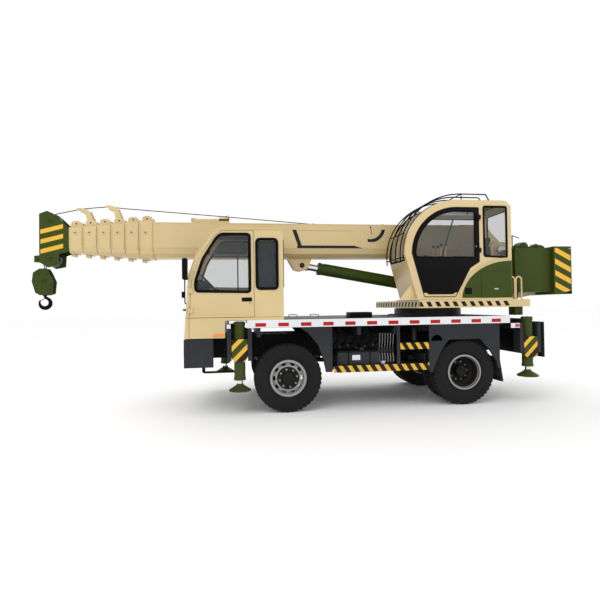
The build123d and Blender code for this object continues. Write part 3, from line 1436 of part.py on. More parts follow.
with BuildPart() as luff_barrel:
    luff_cross_pin(on_luff(0), luff_eye_half, luff_eye_radius)
    rod(on_luff(40), on_luff(150), luff_eye_half - 5)
    rod(on_luff(140), on_luff(luff_length - luff_barrel_front), luff_barrel_radius)
    rod(on_luff(luff_eye_radius + 100), on_luff(luff_length), luff_rod_radius + running, mode=Mode.SUBTRACT)
    luff_cross_pin(on_luff(0), luff_eye_half + 1, luff_pin_radius + running, mode=Mode.SUBTRACT)
save(luff_barrel, "luff_barrel")

with BuildPart() as luff_rod:
    rod(on_luff(luff_eye_radius + 140), on_luff(luff_length - 30), luff_rod_radius)
    luff_cross_pin(on_luff(luff_length), luff_eye_half, luff_eye_radius)
    luff_cross_pin(on_luff(luff_length), luff_eye_half + 1, luff_pin_radius, mode=Mode.SUBTRACT)
save(luff_rod, "luff_rod")
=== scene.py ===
import math
import bmesh
import bpy
from mathutils import Matrix, Vector


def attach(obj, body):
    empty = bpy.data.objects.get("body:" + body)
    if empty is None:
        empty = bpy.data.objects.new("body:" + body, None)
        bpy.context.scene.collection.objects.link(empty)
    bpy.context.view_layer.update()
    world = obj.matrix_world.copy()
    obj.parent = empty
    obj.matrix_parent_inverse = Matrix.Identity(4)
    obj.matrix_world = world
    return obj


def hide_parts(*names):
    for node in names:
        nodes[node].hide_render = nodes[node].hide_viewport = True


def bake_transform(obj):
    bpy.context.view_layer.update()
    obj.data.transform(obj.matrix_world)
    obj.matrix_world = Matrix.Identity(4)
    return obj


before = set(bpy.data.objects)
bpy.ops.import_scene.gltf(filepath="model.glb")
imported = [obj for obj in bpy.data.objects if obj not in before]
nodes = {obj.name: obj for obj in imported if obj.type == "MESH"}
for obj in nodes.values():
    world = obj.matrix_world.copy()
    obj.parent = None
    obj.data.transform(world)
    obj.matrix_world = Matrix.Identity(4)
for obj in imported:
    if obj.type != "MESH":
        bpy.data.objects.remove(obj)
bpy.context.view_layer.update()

# Distances are in metres; X is measured back from the front axle and moved to the
# frame's own X by at(). The crane's front is at -X and the driver's side at -Y.
FRONT_AXLE = -0.465
REAR_AXLE = 2.885
HUB_Z = 0.53
TYRE_RADIUS = 0.5295
TWIN_Y = 1.0075  # middle of the outer tyre of a rear pair
SIDE_Y = -1.15  # outer face of both cabs, the steps and the skirts
SLEW_X = 2.75
PIVOT_X, PIVOT_Z = 4.05, 2.62  # boom pivot
LUFF_X, LUFF_Z = 2.85, 1.93  # foot of the luffing cylinder
EYE_X, EYE_Z = 0.377, 2.372  # eye of its rod on the boom
WINCH_X, WINCH_Z = 4.52, 2.58
SECOND_WINCH_X, SECOND_WINCH_Z = 4.905, 2.59
HOIST_ROPE, FALL_ROPE = 0.0075, 0.0085  # radius of the rope on the boom and in the falls
ROPE_PITCH = 0.0255  # from one turn on a drum to the next
BOOM_Z, BOOM_TOP = 2.79, 3.09
BOOM_HALF_WIDTH = 0.25
STAGES = 6  # the base and five sections
STAGE_STEP = 0.02  # what each section is narrower and lower than the one before
COLLAR_FRONT = -2.387
COLLAR_STEP = 0.229
TOP_SHEAVE = (-3.83, 3.12)
FALL_SHEAVE = (-3.84, 2.49)
FALL_X = -3.970
BLOCK_X, BLOCK_Z = -3.975, 2.12
BOW = (2.78, 2.45)  # centre of the operator cab's bowed front
ARCH = (3.72, 1.70)  # centre of the green panel's arch
BIG = 99  # a limit that nothing reaches
SIDES = ((-1, "left"), (1, "right"))
# Outriggers: name, side, X, lower end of the outer tube
LEGS = (("front_left", -1, -0.742, 0.53), ("front_right", 1, -1.042, 0.53),
        ("rear_left", -1, 4.045, 0.588), ("rear_right", 1, 3.745, 0.588))

SAND = (0.600, 0.462, 0.232)
GREEN = (0.039, 0.058, 0.008)
CHARCOAL = (0.020, 0.0225, 0.028)
BLACK = (0.004, 0.004, 0.0045)
YELLOW = (0.74, 0.43, 0.045)
WHITE = (0.70, 0.72, 0.74)
RED = (0.42, 0.008, 0.012)
RIM_SILVER = (0.31, 0.313, 0.32)
DARK_BASE = (0.008, 0.008, 0.009)


def at(x):
    """Frame X of a distance behind the front axle."""
    return x + FRONT_AXLE


def in_frame(points):
    """Points in X and Z with X moved to the frame's own."""
    return [(at(x), z) for x, z in points]


def arc_points(centre, reach, rise, angles):
    """Points on an ellipse in X and Z, at degrees up from its foremost point."""
    return [(centre[0] - reach * math.cos(math.radians(a)), centre[1] + rise * math.sin(math.radians(a)))
            for a in angles]


# Node groups
def new_group(name, inputs, outputs):
    """Empty node group with its sockets, and its input and output nodes."""
    group = bpy.data.node_groups.new(name, "ShaderNodeTree")
    for socket_name, kind, default in inputs:
        socket = group.interface.new_socket(name=socket_name, in_out="INPUT", socket_type=kind)
        if default is not None:
            socket.default_value = default
    for socket_name, kind in outputs:
        group.interface.new_socket(name=socket_name, in_out="OUTPUT", socket_type=kind)
    return group, group.nodes.new("NodeGroupInput"), group.nodes.new("NodeGroupOutput")


def math_node(tree, operation, *values, clamp=False):
    """Output of a Math node fed by numbers or sockets."""
    node = tree.nodes.new("ShaderNodeMath")
    node.operation = operation
    node.use_clamp = clamp
    for socket, value in zip(node.inputs, values):
        if isinstance(value, (int, float)):
            socket.default_value = value
        else:
            tree.links.new(value, socket)
    return node.outputs[0]


def split_xyz(tree, vector):
    """X, Y and Z sockets of a vector."""
    node = tree.nodes.new("ShaderNodeSeparateXYZ")
    tree.links.new(vector, node.inputs[0])
    return node.outputs[0], node.outputs[1], node.outputs[2]


def place_group(tree, group, vector, values=None):
    """Node that holds a group, fed with a vector and with values by socket name."""
    node = tree.nodes.new("ShaderNodeGroup")
    node.node_tree = group
    tree.links.new(vector, node.inputs["Vector"])
    for name, value in (values or {}).items():
        node.inputs[name].default_value = value
    return node


def mix_colour(tree, factor, below, above, blend="MIX"):
    """Output of a colour Mix node fed by numbers, colours or sockets."""
    node = tree.nodes.new("ShaderNodeMix")
    node.data_type = "RGBA"
    node.blend_type = blend
    for index, value in ((0, factor), (6, below), (7, above)):
        if isinstance(value, (int, float, tuple)):
            node.inputs[index].default_value = value
        else:
            tree.links.new(value, node.inputs[index])
    return node.outputs[2]


def map_range(tree, value, source, target=(0.0, 1.0)):
    """Output of a Map Range node."""
    node = tree.nodes.new("ShaderNodeMapRange")
    node.inputs["From Min"].default_value, node.inputs["From Max"].default_value = source
    node.inputs["To Min"].default_value, node.inputs["To Max"].default_value = target
    tree.links.new(value, node.inputs["Value"])
    return node.outputs[0]


def box_mask_group():
    """Mask: 1 inside limits for X, Z and the distance from the middle plane."""
    tree, entry, end = new_group(
        "Box mask",
        [("Vector", "NodeSocketVector", None), ("Low", "NodeSocketVector", (0, 0, 0)),
         ("High", "NodeSocketVector", (1, 1, 1))],
        [("Mask", "NodeSocketFloat")])
    x, y, z = split_xyz(tree, entry.outputs["Vector"])
    lows = split_xyz(tree, entry.outputs["Low"])
    highs = split_xyz(tree, entry.outputs["High"])
    mask = 1.0
    for value, low, high in zip((x, math_node(tree, "ABSOLUTE", y), z), lows, highs):
        mask = math_node(tree, "MULTIPLY", mask, math_node(tree, "GREATER_THAN", value, low))
        mask = math_node(tree, "MULTIPLY", mask, math_node(tree, "LESS_THAN", value, high))
    tree.links.new(mask, end.inputs["Mask"])
    return tree


def stripes_group():
    """Mask of bars that repeat along a direction."""
    directions = ("Along X", "Along Y", "Along Z")
    tree, entry, end = new_group("Stripes", [("Vector", "NodeSocketVector", None),
                                             *((name, "NodeSocketFloat", 0.0) for name in directions),
                                             ("Pitch", "NodeSocketFloat", 0.2),
                                             ("Share", "NodeSocketFloat", 0.5),
                                             ("Start", "NodeSocketFloat", 0.0)],
                                 [("Mask", "NodeSocketFloat")])
    along = 0.0
    for value, name in zip(split_xyz(tree, entry.outputs["Vector"]), directions):
        along = math_node(tree, "ADD", along, math_node(tree, "MULTIPLY", value, entry.outputs[name]))
    along = math_node(tree, "SUBTRACT", along, entry.outputs["Start"])
    along = math_node(tree, "FRACT", math_node(tree, "DIVIDE", along, entry.outputs["Pitch"]))
    tree.links.new(math_node(tree, "LESS_THAN", along, entry.outputs["Share"]), end.inputs["Mask"])
    return tree


def weather_group():
    """Slow change of tone, fine grain, and dust that gathers low down."""
    tree, entry, end = new_group(
        "Weather",
        [("Vector", "NodeSocketVector", None), ("Colour", "NodeSocketColor", (1, 1, 1, 1)),
         ("Dirt", "NodeSocketFloat", 0.3)],
        [("Colour", "NodeSocketColor"), ("Dull", "NodeSocketFloat"), ("Grain", "NodeSocketFloat")])
    noises = []
    for scale, detail in ((1.7, 5), (60, 3)):
        noise = tree.nodes.new("ShaderNodeTexNoise")
        noise.inputs["Scale"].default_value = scale
        noise.inputs["Detail"].default_value = detail
        tree.links.new(entry.outputs["Vector"], noise.inputs["Vector"])
        noises.append(noise.outputs[0])
    slow, fine = noises
    height = split_xyz(tree, entry.outputs["Vector"])[2]
    low_down = map_range(tree, height, (1.3, 0.2))
    dusty = math_node(tree, "MULTIPLY", low_down, slow)
    dusty = math_node(tree, "MULTIPLY", dusty, entry.outputs["Dirt"], clamp=True)
    tone = map_range(tree, slow, (0.25, 0.75), (0.93, 1.05))
    grey = tree.nodes.new("ShaderNodeCombineColor")
    for socket in grey.inputs:
        tree.links.new(tone, socket)
    shade = mix_colour(tree, 1.0, entry.outputs["Colour"], grey.outputs[0], "MULTIPLY")
    dust = (0.16, 0.14, 0.11, 1)
    tree.links.new(mix_colour(tree, dusty, shade, dust), end.inputs["Colour"])
    dull = math_node(tree, "ADD", math_node(tree, "MULTIPLY", slow, 0.12),
                     math_node(tree, "MULTIPLY", dusty, 0.4))
    tree.links.new(dull, end.inputs["Dull"])
    tree.links.new(fine, end.inputs["Grain"])
    return tree


def chequer_group():
    """Height of raised bars in two directions, for tread plate."""
    tree, entry, end = new_group(
        "Chequer", [("Vector", "NodeSocketVector", None), ("Pitch", "NodeSocketFloat", 0.06)],
        [("Height", "NodeSocketFloat")])
    x, y, _ = split_xyz(tree, entry.outputs["Vector"])
    heights = []
    for sign in (1, -1):
        slant = math_node(tree, "MULTIPLY", y, sign)
        across = math_node(tree, "DIVIDE", math_node(tree, "ADD", x, slant), entry.outputs["Pitch"])
        lengthways = math_node(tree, "DIVIDE", math_node(tree, "SUBTRACT", x, slant), entry.outputs["Pitch"])
        bar = math_node(tree, "MULTIPLY", math_node(tree, "PINGPONG", across, 0.5), 2.0)
        gap = math_node(tree, "PINGPONG", math_node(tree, "ADD", lengthways, 0.25 * sign), 1.0)
        heights.append(math_node(tree, "MULTIPLY", math_node(tree, "GREATER_THAN", bar, 0.72),
                                 math_node(tree, "GREATER_THAN", gap, 0.5)))
    tree.links.new(math_node(tree, "MAXIMUM", *heights), end.inputs["Height"])
    return tree


BOX_MASK = box_mask_group()
STRIPES = stripes_group()
WEATHER = weather_group()
CHEQUER = chequer_group()


# Materials
def mark_mask(tree, place, mark):
    """Mask of one painted mark: a box, cut down to stripes, below a slope or to a ring."""
    mask = place_group(tree, BOX_MASK, place, {"Low": mark["low"], "High": mark["high"]}).outputs[0]
    x, _, z = split_xyz(tree, place)
    if "stripes" in mark:
        values = dict(zip(("Along X", "Along Z", "Pitch", "Share", "Start"), mark["stripes"]))
        values["Along Y"] = mark.get("across", 0.0)
        bars = place_group(tree, STRIPES, place, values)
        mask = math_node(tree, "MULTIPLY", mask, bars.outputs[0])
    if "under" in mark:
        slope_x, slope_z, limit = mark["under"]
        value = math_node(tree, "ADD", math_node(tree, "MULTIPLY", x, slope_x),
                          math_node(tree, "MULTIPLY", z, slope_z))
        mask = math_node(tree, "MULTIPLY", mask, math_node(tree, "LESS_THAN", value, limit))
    if "ring" in mark:
        centre_x, centre_z, inner, outer = mark["ring"]
        dx = math_node(tree, "SUBTRACT", x, centre_x)
        dz = math_node(tree, "SUBTRACT", z, centre_z)
        square = math_node(tree, "ADD", math_node(tree, "MULTIPLY", dx, dx),
                           math_node(tree, "MULTIPLY", dz, dz))
        radius = math_node(tree, "SQRT", square)
        mask = math_node(tree, "MULTIPLY", mask, math_node(tree, "GREATER_THAN", radius, inner))
        mask = math_node(tree, "MULTIPLY", mask, math_node(tree, "LESS_THAN", radius, outer))
    return mask


def material(name, colour, rough=0.4, metal=0.0, coat=0.0, dirt=0.25, marks=(), chequer=False, bump=0.12,
             glow=None, alpha=1.0, ior=1.45, shine=0.5):
    """A procedural paint, plastic, metal or glass with optional marks laid over its base colour."""
    look = bpy.data.materials.new(name)
    look.use_nodes = True
    look.diffuse_color = (*colour, 1)
    tree = look.node_tree
    surface = tree.nodes["Principled BSDF"]
    place = tree.nodes.new("ShaderNodeTexCoord").outputs["Object"]
    base = tree.nodes.new("ShaderNodeRGB")
    base.outputs[0].default_value = (*colour, 1)
    painted = base.outputs[0]
    for mark in marks:
        painted = mix_colour(tree, mark_mask(tree, place, mark), painted, (*mark["colour"], 1))
    wear = place_group(tree, WEATHER, place, {"Dirt": dirt})
    tree.links.new(painted, wear.inputs["Colour"])
    tree.links.new(wear.outputs["Colour"], surface.inputs["Base Color"])
    roughness = math_node(tree, "ADD", wear.outputs["Dull"], rough - 0.06, clamp=True)
    surface.inputs["Coat Weight"].default_value = coat
    if marks:
        # Dark marks are matt: they lose their coat and are rougher
        bright = map_range(tree, painted, (0.0, 0.03))
        tree.links.new(math_node(tree, "MULTIPLY", bright, coat), surface.inputs["Coat Weight"])
        matt = math_node(tree, "MULTIPLY", math_node(tree, "SUBTRACT", 1.0, bright), 0.3)
        roughness = math_node(tree, "ADD", roughness, matt, clamp=True)
    tree.links.new(roughness, surface.inputs["Roughness"])
    surface.inputs["Metallic"].default_value = metal
    surface.inputs["Coat Roughness"].default_value = 0.12
    surface.inputs["IOR"].default_value = ior
    surface.inputs["Specular IOR Level"].default_value = shine
    height, strength, distance = wear.outputs["Grain"], bump, 0.0006
    if chequer:
        height, strength, distance = place_group(tree, CHEQUER, place).outputs[0], 0.7, 0.002
    raised = tree.nodes.new("ShaderNodeBump")
    raised.inputs["Strength"].default_value = strength
    raised.inputs["Distance"].default_value = distance
    tree.links.new(height, raised.inputs["Height"])
    tree.links.new(raised.outputs[0], surface.inputs["Normal"])
    if alpha < 1:
        surface.inputs["Alpha"].default_value = alpha
    if glow:
        surface.inputs["Emission Color"].default_value = (*glow, 1)
        surface.inputs["Emission Strength"].default_value = 0.25
    return look


paint = dict(rough=0.34, coat=0.25, shine=0.35)
dark_paint = dict(rough=0.40, coat=0.03, shine=0.12)
sand = material("sand_paint", SAND, **paint)
green = material("green_paint", GREEN, **dark_paint)
charcoal = material("charcoal_paint", CHARCOAL, rough=0.45, coat=0.04, shine=0.15)
chassis = material("chassis_black", (0.005, 0.0054, 0.006), rough=0.55, dirt=0.12, shine=0.10)
plate = material("tread_plate", (0.035, 0.037, 0.04), rough=0.5, chequer=True, shine=0.25)
black = material("black_trim", BLACK, rough=0.5, shine=0.07)
gloss_black = material("gloss_black", (0.003, 0.0036, 0.004), rough=0.25, coat=0.0, shine=0.07)
rubber = material("seal_rubber", (0.004, 0.0042, 0.0046), rough=0.68, bump=0.3, shine=0.06)
tread = material("tyre_rubber", (0.0100, 0.0104, 0.0112), rough=0.72, bump=0.4, dirt=0.06, shine=0.12)
steel = material("bare_steel", (0.36, 0.36, 0.37), rough=0.32, metal=1.0)
dark_steel = material("dark_steel", (0.028, 0.028, 0.030), rough=0.45, metal=0.4, shine=0.25)
chrome = material("chrome_rod", (0.72, 0.72, 0.73), rough=0.12, metal=1.0, dirt=0.0, bump=0.0)
silver = material("silver_paint", (0.24, 0.243, 0.25), rough=0.38, metal=0.2, shine=0.3)
rope = material("wire_rope", (0.022, 0.023, 0.025), rough=0.55, metal=0.3, bump=0.6, shine=0.2)
white = material("white_paint", WHITE, **paint)
amber = material("amber_lens", (0.70, 0.20, 0.012), rough=0.15, coat=0.8, glow=(0.6, 0.16, 0.0))
# The red lens glows faintly; on the rear reflector, which is no lamp, this glow is a painted glow
red_lens = material("red_lens", (0.40, 0.006, 0.008), rough=0.15, coat=0.8, glow=(0.4, 0.0, 0.0))
clear_lens = material("clear_lens", (0.75, 0.77, 0.78), rough=0.08, coat=0.9, metal=0.4)
seat_cloth = material("seat_cloth", (0.018, 0.020, 0.026), rough=0.85, bump=0.5, shine=0.15)
visor = material("visor_olive", (0.10, 0.095, 0.07), rough=0.7)
lever_tan = material("lever_tan", (0.45, 0.33, 0.16), rough=0.5)
brass = material("pipe_fitting", (0.30, 0.27, 0.18), rough=0.35, metal=0.9)
mirror_face = material("mirror_face", (0.8, 0.82, 0.84), rough=0.03, metal=1.0, dirt=0.0, bump=0.0)


def glass_material(name, tint, alpha, rough=0.03):
    """Tinted pane: partly see-through with a clear gloss."""
    return material(name, tint, rough=rough + 0.04, coat=0.12, dirt=0.0, bump=0.0, alpha=alpha, ior=1.5,
                    shine=0.35)


clear_pane = glass_material("clear_pane", (0.13, 0.15, 0.16), 0.15)

# Marks on the solids that come from the frame
carrier_strip = material(
    "strip_paint", (0.018, 0.0195, 0.023), rough=0.42, coat=0.05, shine=0.16,
    marks=[dict(low=(at(-0.64), 1.1185, 1.318), high=(at(3.69), BIG, 1.4375), colour=WHITE),
           dict(low=(at(-0.50), 1.1185, 1.335), high=(at(3.66), BIG, 1.392), colour=RED,
                stripes=(1.0, 0.0, 0.3505, 0.47, at(-0.50)))])
step_bars = (1.0, 0.62, 0.146, 0.46, 0.02)
step_paint = material(
    "step_stripes", DARK_BASE, rough=0.45, shine=0.14,
    marks=[dict(low=(-BIG, 1.149, 0.59), high=(BIG, BIG, 0.713), colour=YELLOW, stripes=step_bars),
           dict(low=(at(1.787), 1.149, 0.92), high=(BIG, BIG, 1.05), colour=YELLOW, stripes=step_bars)])
table_paint = material(
    "table_stripes", SAND, rough=0.34, coat=0.25, shine=0.2,
    marks=[dict(low=(at(2.13), 1.1485, 1.604), high=(at(3.725), BIG, 1.684), colour=BLACK,
                stripes=(1.0, 0.55, 0.148, 0.50, 0.03)),
           dict(low=(-BIG, 0.0, 1.604), high=(at(2.126), 1.146, 1.684), colour=BLACK,
                stripes=(0.0, 0.45, 0.148, 0.50, 0.0), across=1.0)])
head_paint = material(
    "head_stripes", GREEN, **dark_paint,
    marks=[dict(low=(at(-3.972), 0.1685, 2.55), high=(at(-3.62), BIG, 3.12), colour=YELLOW,
                stripes=(-0.27, 1.0, 0.163, 0.44, 3.600), under=(-0.27, 1.0, 4.2357))])
weight_paint = material(
    "weight_stripes", GREEN, **dark_paint,
    marks=[dict(low=(at(4.765), 0.8285, 1.83), high=(at(5.065), BIG, 2.60), colour=YELLOW,
                stripes=(0.52, 1.0, 0.205, 0.46, 0.05)),
           dict(low=(at(5.075), 0.36, 1.83), high=(BIG, 0.80, 2.60), colour=YELLOW,
                stripes=(0.0, 1.0, 0.205, 0.40, 0.05))])
boom_paint = material(
    "boom_graphic", SAND, **paint,
    marks=[dict(low=(at(0.15), 0.2485, 2.660), high=(at(0.38), BIG, 2.985), colour=BLACK,
                stripes=(1.0, 0.343, 9.0, 0.0080, at(0.190) + 0.343 * 2.985)),
           dict(low=(at(0.275), 0.2485, 2.659), high=(at(1.30), BIG, 2.708), colour=BLACK),
           dict(low=(at(1.30), 0.2485, 2.659), high=(at(1.469), BIG, 2.708), colour=BLACK,
                under=(0.30, 1.0, 2.708 + 0.30 * at(1.30))),
           dict(low=(at(0.27), 0.2485, 2.966), high=(at(1.27), BIG, 2.974), colour=(0.30, 0.22, 0.11)),
           dict(low=(at(1.55), 0.2485, 2.775), high=(at(1.90), BIG, 3.00), colour=BLACK,
                ring=(at(1.60), 3.045, 0.218, 0.280))])


def leg_stripes(name, x):
    """Green outrigger post with slanted yellow and black bars on a square."""
    bottom = 0.806 if name.startswith("front") else 0.74
    square = dict(low=(at(x) - 0.13, 1.139, bottom), high=(at(x) + 0.13, BIG, bottom + 0.346))
    return material(
        f"leg_{name}", GREEN, **dark_paint,
        marks=[dict(**square, colour=(0.012, 0.011, 0.008),
                    stripes=(1.0, -1.0, 0.41, 0.56, at(x) - bottom - 0.53)),
               dict(**square, colour=YELLOW,
                    stripes=(1.0, -1.0, 0.205, 0.42, at(x) - bottom - 0.155))])


def wheel_paint(name, x, inner):
    """Black rim with a silver ring from an inner radius outwards."""
    return material(
        name, DARK_BASE, rough=0.4, shine=0.2,
        marks=[dict(low=(-BIG, 0, 0), high=(BIG, BIG, BIG), colour=RIM_SILVER,
                    ring=(at(x), HUB_Z, inner, 0.40))])


leg_paint = {name: leg_stripes(name, x) for name, _, x, _ in LEGS}
wheel_front = wheel_paint("wheel_front", 0, 0.176)
wheel_rear = wheel_paint("wheel_rear", REAR_AXLE, 0.258)

looks = {"main_frame": chassis, "deck": carrier_strip, "side_skirts": charcoal, "steps": step_paint,
         "bumper": charcoal, "lamps": clear_lens, "half_cab": sand, "cab_glass": clear_pane,
         "driver_station": black, "engine_hood": sand, "outrigger_boxes": charcoal, "engine": dark_steel,
         "fuel_tank": silver, "service_bay": black, "front_axle": chassis, "rear_axle": chassis,
         "slew_ring": dark_steel, "mirrors": black, "knuckle_left": chassis, "knuckle_right": chassis,
         "cab_door": sand, "cab_door_glass": clear_pane, "turntable": table_paint, "operator_cab": sand,
         "operator_glass": clear_pane, "operator_seat": seat_cloth, "guard_bars": black,
         "rear_housings": green, "counterweight": weight_paint, "operator_door": gloss_black,
         "operator_door_glass": clear_pane, "winch": green, "boom_base": boom_paint,
         "boom_head": head_paint, "luff_barrel": green, "luff_rod": chrome, "hoist_falls": dark_steel,
         "hook_block": green, "hook": black,}
for _, name in SIDES:
    looks[f"tyre_front_{name}"] = tread
    looks[f"tyres_rear_{name}"] = tread
    looks[f"rim_front_{name}"] = wheel_front
    looks[f"rims_rear_{name}"] = wheel_rear
for name, *_ in LEGS:
    looks[f"beam_{name}"] = leg_paint[name]
    looks[f"jack_{name}"] = green
for n in range(1, STAGES):
    looks[f"boom_section_{n}"] = sand
for name, obj in nodes.items():
    obj.data.materials.clear()
    obj.data.materials.append(looks[name])


# Shapes
def new_object(name, data, *materials):
    """Object in the scene with its materials in order."""
    obj = bpy.data.objects.new(name, data)
    bpy.context.scene.collection.objects.link(obj)
    for look in materials:
        data.materials.append(look)
    return obj


class Piece:
    """Collects shapes into one mesh that rides on a body."""

    def __init__(self, name, body, *materials):
        self.name, self.body, self.materials = name, body, materials
        self.bm = bmesh.new()
        self.slot = 0

    def use(self, slot):
        """The shapes that follow take the material in this slot."""
        self.slot = slot
        return self

    def face(self, verts):
        """Face between vertices, unless that face is there already."""
        try:
            face = self.bm.faces.new(verts)
        except ValueError:
            return
        face.material_index = self.slot

    def soften(self, old, bevel, clamp):
        """Bevel the edges of all vertices that aren't in old, and set their faces' material."""
        if bevel:
            edges = list({e for v in self.bm.verts if v not in old for e in v.link_edges})
            bmesh.ops.bevel(self.bm, geom=edges, offset=bevel, segments=2, affect="EDGES", profile=0.5,
                            clamp_overlap=clamp)
        for vert in self.bm.verts:
            if vert not in old:
                for face in vert.link_faces:
                    face.material_index = self.slot
        return self

    def box(self, corner, far_corner, bevel=0.0):
        """Block between two corners."""
        old = set(self.bm.verts)
        low, high = Vector(map(min, corner, far_corner)), Vector(map(max, corner, far_corner))
        for vert in bmesh.ops.create_cube(self.bm, size=1)["verts"]:
            vert.co = Vector((low[i] + (high[i] - low[i]) * (vert.co[i] + 0.5) for i in range(3)))
        return self.soften(old, bevel, False)

    def prism(self, points, y0, y1, bevel=0.0):
        """Outline in X and Z between two Y limits."""
        old = set(self.bm.verts)
        near = [self.bm.verts.new((x, y0, z)) for x, z in points]
        far = [self.bm.verts.new((x, y1, z)) for x, z in points]
        self.face(near)
        self.face(list(reversed(far)))
        for i in range(len(points)):
            after = (i + 1) % len(points)
            self.face((near[i], far[i], far[after], near[after]))
        return self.soften(old, bevel, True)

    def ring(self, centre, axis, up, radius, sides):
        """Circle of vertices round a point."""
        side = axis.cross(up)
        return [self.bm.verts.new(centre + (up * math.cos(a) + side * math.sin(a)) * radius)
                for a in [2 * math.pi * i / sides for i in range(sides)]]

    def join(self, first, second):
        """Faces between two rings of as many vertices."""
        count = len(first)
        for i in range(count):
            after = (i + 1) % count
            self.face((first[i], first[after], second[after], second[i]))

    def tube(self, points, radius, sides=8, caps=True):
        """Tube through points, with one radius or one for each point."""
        points = [Vector(point) for point in points]
        rings = []
        up = None
        for i, point in enumerate(points):
            before = (point - points[i - 1]).normalized() if i else None
            after = (points[i + 1] - point).normalized() if i + 1 < len(points) else None
            axis = ((before or after) + (after or before)).normalized()
            if up is None:
                up = axis.orthogonal().normalized()
                if abs(axis.z) < 0.9:
                    up = (Vector((0, 0, 1)) - axis * axis.z).normalized()
            up = (up - axis * up.dot(axis)).normalized()
            reach = radius[i] if isinstance(radius, (list, tuple)) else radius
            if before and after and len(points) < 5:
                # Few points mean sharp corners: a mitred ring keeps the tube's thickness
                reach *= 1 / max(0.5, math.cos(before.angle(after) / 2))
            rings.append(self.ring(point, axis, up, reach, sides))
        for first, second in zip(rings, rings[1:]):
            self.join(first, second)
        if caps:
            self.face(list(reversed(rings[0])))
            self.face(rings[-1])
        return self

    def hose(self, start, middle, end, radius, sides=8):
        """Tube along a curve through three points."""
        return self.tube(bulge(start, middle, end), radius, sides)

    def loop(self, points, radius):
        """Closed six-sided tube through points."""
        return self.tube(points + points[:1], radius, 6, caps=False)

    def lathe(self, profile, centre, axis=(0, 1, 0), sides=32):
        """Turn (outward, radius) points round an axis; a radius of 0 ends in a fan."""
        centre, axis = Vector(centre), Vector(axis).normalized()
        up = axis.orthogonal().normalized()
        rings = []
        for out, radius in profile:
            if radius <= 0:
                rings.append([self.bm.verts.new(centre + axis * out)])
            else:
                rings.append(self.ring(centre + axis * out, axis, up, radius, sides))
        for first, second in zip(rings, rings[1:]):
            if len(first) == 1 and len(second) > 1:
                for i in range(sides):
                    self.face((first[0], second[(i + 1) % sides], second[i]))
            elif len(second) == 1 and len(first) > 1:
                for i in range(sides):
                    self.face((first[i], first[(i + 1) % sides], second[0]))
            elif len(first) > 1:
                self.join(first, second)
        return self

    def disc(self, centre, radius, thick, axis=(0, 1, 0), sides=32):
        """Round plate with bevelled edges."""
        edge = thick * 0.2
        profile = [(0, 0), (0, radius - edge), (edge, radius), (thick - edge, radius), (thick, radius - edge),
                   (thick, 0)]
        return self.lathe(profile, centre, axis, sides)

    def nut(self, centre, size, thick, axis=(0, 1, 0)):
        """Hexagon nut with the end of its bolt."""
        profile = [(0, size), (thick * 0.8, size), (thick, size * 0.86), (thick, size * 0.5),
                   (thick * 1.35, size * 0.45), (thick * 1.35, 0)]
        return self.lathe(profile, centre, axis, 6)

    def nut_ring(self, count, centre, reach, size, thick, axis, turn=0.0):
        """Nuts on a circle round an axis that lies along X, Y or Z."""
        first, second = (i for i in range(3) if not axis[i])
        for k in range(count):
            angle = 2 * math.pi * k / count + turn
            place = list(centre)
            place[first] += reach * math.cos(angle)
            place[second] += reach * math.sin(angle)
            self.nut(place, size, thick, axis)
        return self

    def done(self, smooth=40, replaces=None, ride=True):
        """Turn the piece into an object; edges sharper than smooth degrees stay sharp."""
        bmesh.ops.recalc_face_normals(self.bm, faces=self.bm.faces)
        self.bm.normal_update()
        limit = math.radians(smooth)
        for face in self.bm.faces:
            face.smooth = True
        for edge in self.bm.edges:
            edge.smooth = len(edge.link_faces) != 2 or edge.calc_face_angle(0) < limit
        mesh = bpy.data.meshes.new(self.name)
        self.bm.to_mesh(mesh)
        self.bm.free()
        obj = new_object(self.name, mesh, *self.materials)
        if replaces:
            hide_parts(*replaces)
        if ride:
            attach(obj, self.body)
        return obj


def rounded(points, radius, steps=4):
    """Rounds the corners of a closed outline."""
    out = []
    count = len(points)
    for i in range(count):
        before, corner, after = (Vector((*points[(i + k - 1) % count], 0)) for k in range(3))
        back, ahead = (before - corner), (after - corner)
        cut = min(radius, back.length * 0.45, ahead.length * 0.45)
        first, last = corner + back.normalized() * cut, corner + ahead.normalized() * cut
        for k in range(steps + 1):
            t = k / steps
            point = first.lerp(corner, t).lerp(corner.lerp(last, t), t)
            out.append((point.x, point.y))
    return out


def bulge(start, middle, end, steps=8):
    """Curve through three points."""
    start, middle, end = Vector(start), Vector(middle), Vector(end)
    pull = middle * 2 - (start + end) / 2
    curve = []
    for i in range(steps + 1):
        t = i / steps
        curve.append(tuple(start.lerp(pull, t).lerp(pull.lerp(end, t), t)))
    return curve


def cylinder(radius, length):
    """Profile of a plain cylinder for lathe."""
    return [(0, 0), (0, radius), (length, radius), (length, 0)]


def cap(radius, edge, end_radius, length):
    """Profile of a cap with a sloped edge for lathe."""
    return [(0, 0), (0, radius), (edge, radius), (length, end_radius), (length, 0)]


def arc_through(first, middle, last, steps):
    """Points on the circle through three points."""
    (ax, az), (bx, bz), (cx, cz) = first, middle, last
    a_square, b_square, c_square = ax * ax + az * az, bx * bx + bz * bz, cx * cx + cz * cz
    scale = 2 * (ax * (bz - cz) + bx * (cz - az) + cx * (az - bz))
    x = (a_square * (bz - cz) + b_square * (cz - az) + c_square * (az - bz)) / scale
    z = (a_square * (cx - bx) + b_square * (ax - cx) + c_square * (bx - ax)) / scale
    radius = math.hypot(ax - x, az - z)
    start = math.atan2(az - z, ax - x)
    turn = math.remainder(math.atan2(cz - z, cx - x) - start, math.tau)
    angles = [start + turn * i / steps for i in range(steps + 1)]
    return [(x + radius * math.cos(a), z + radius * math.sin(a)) for a in angles]


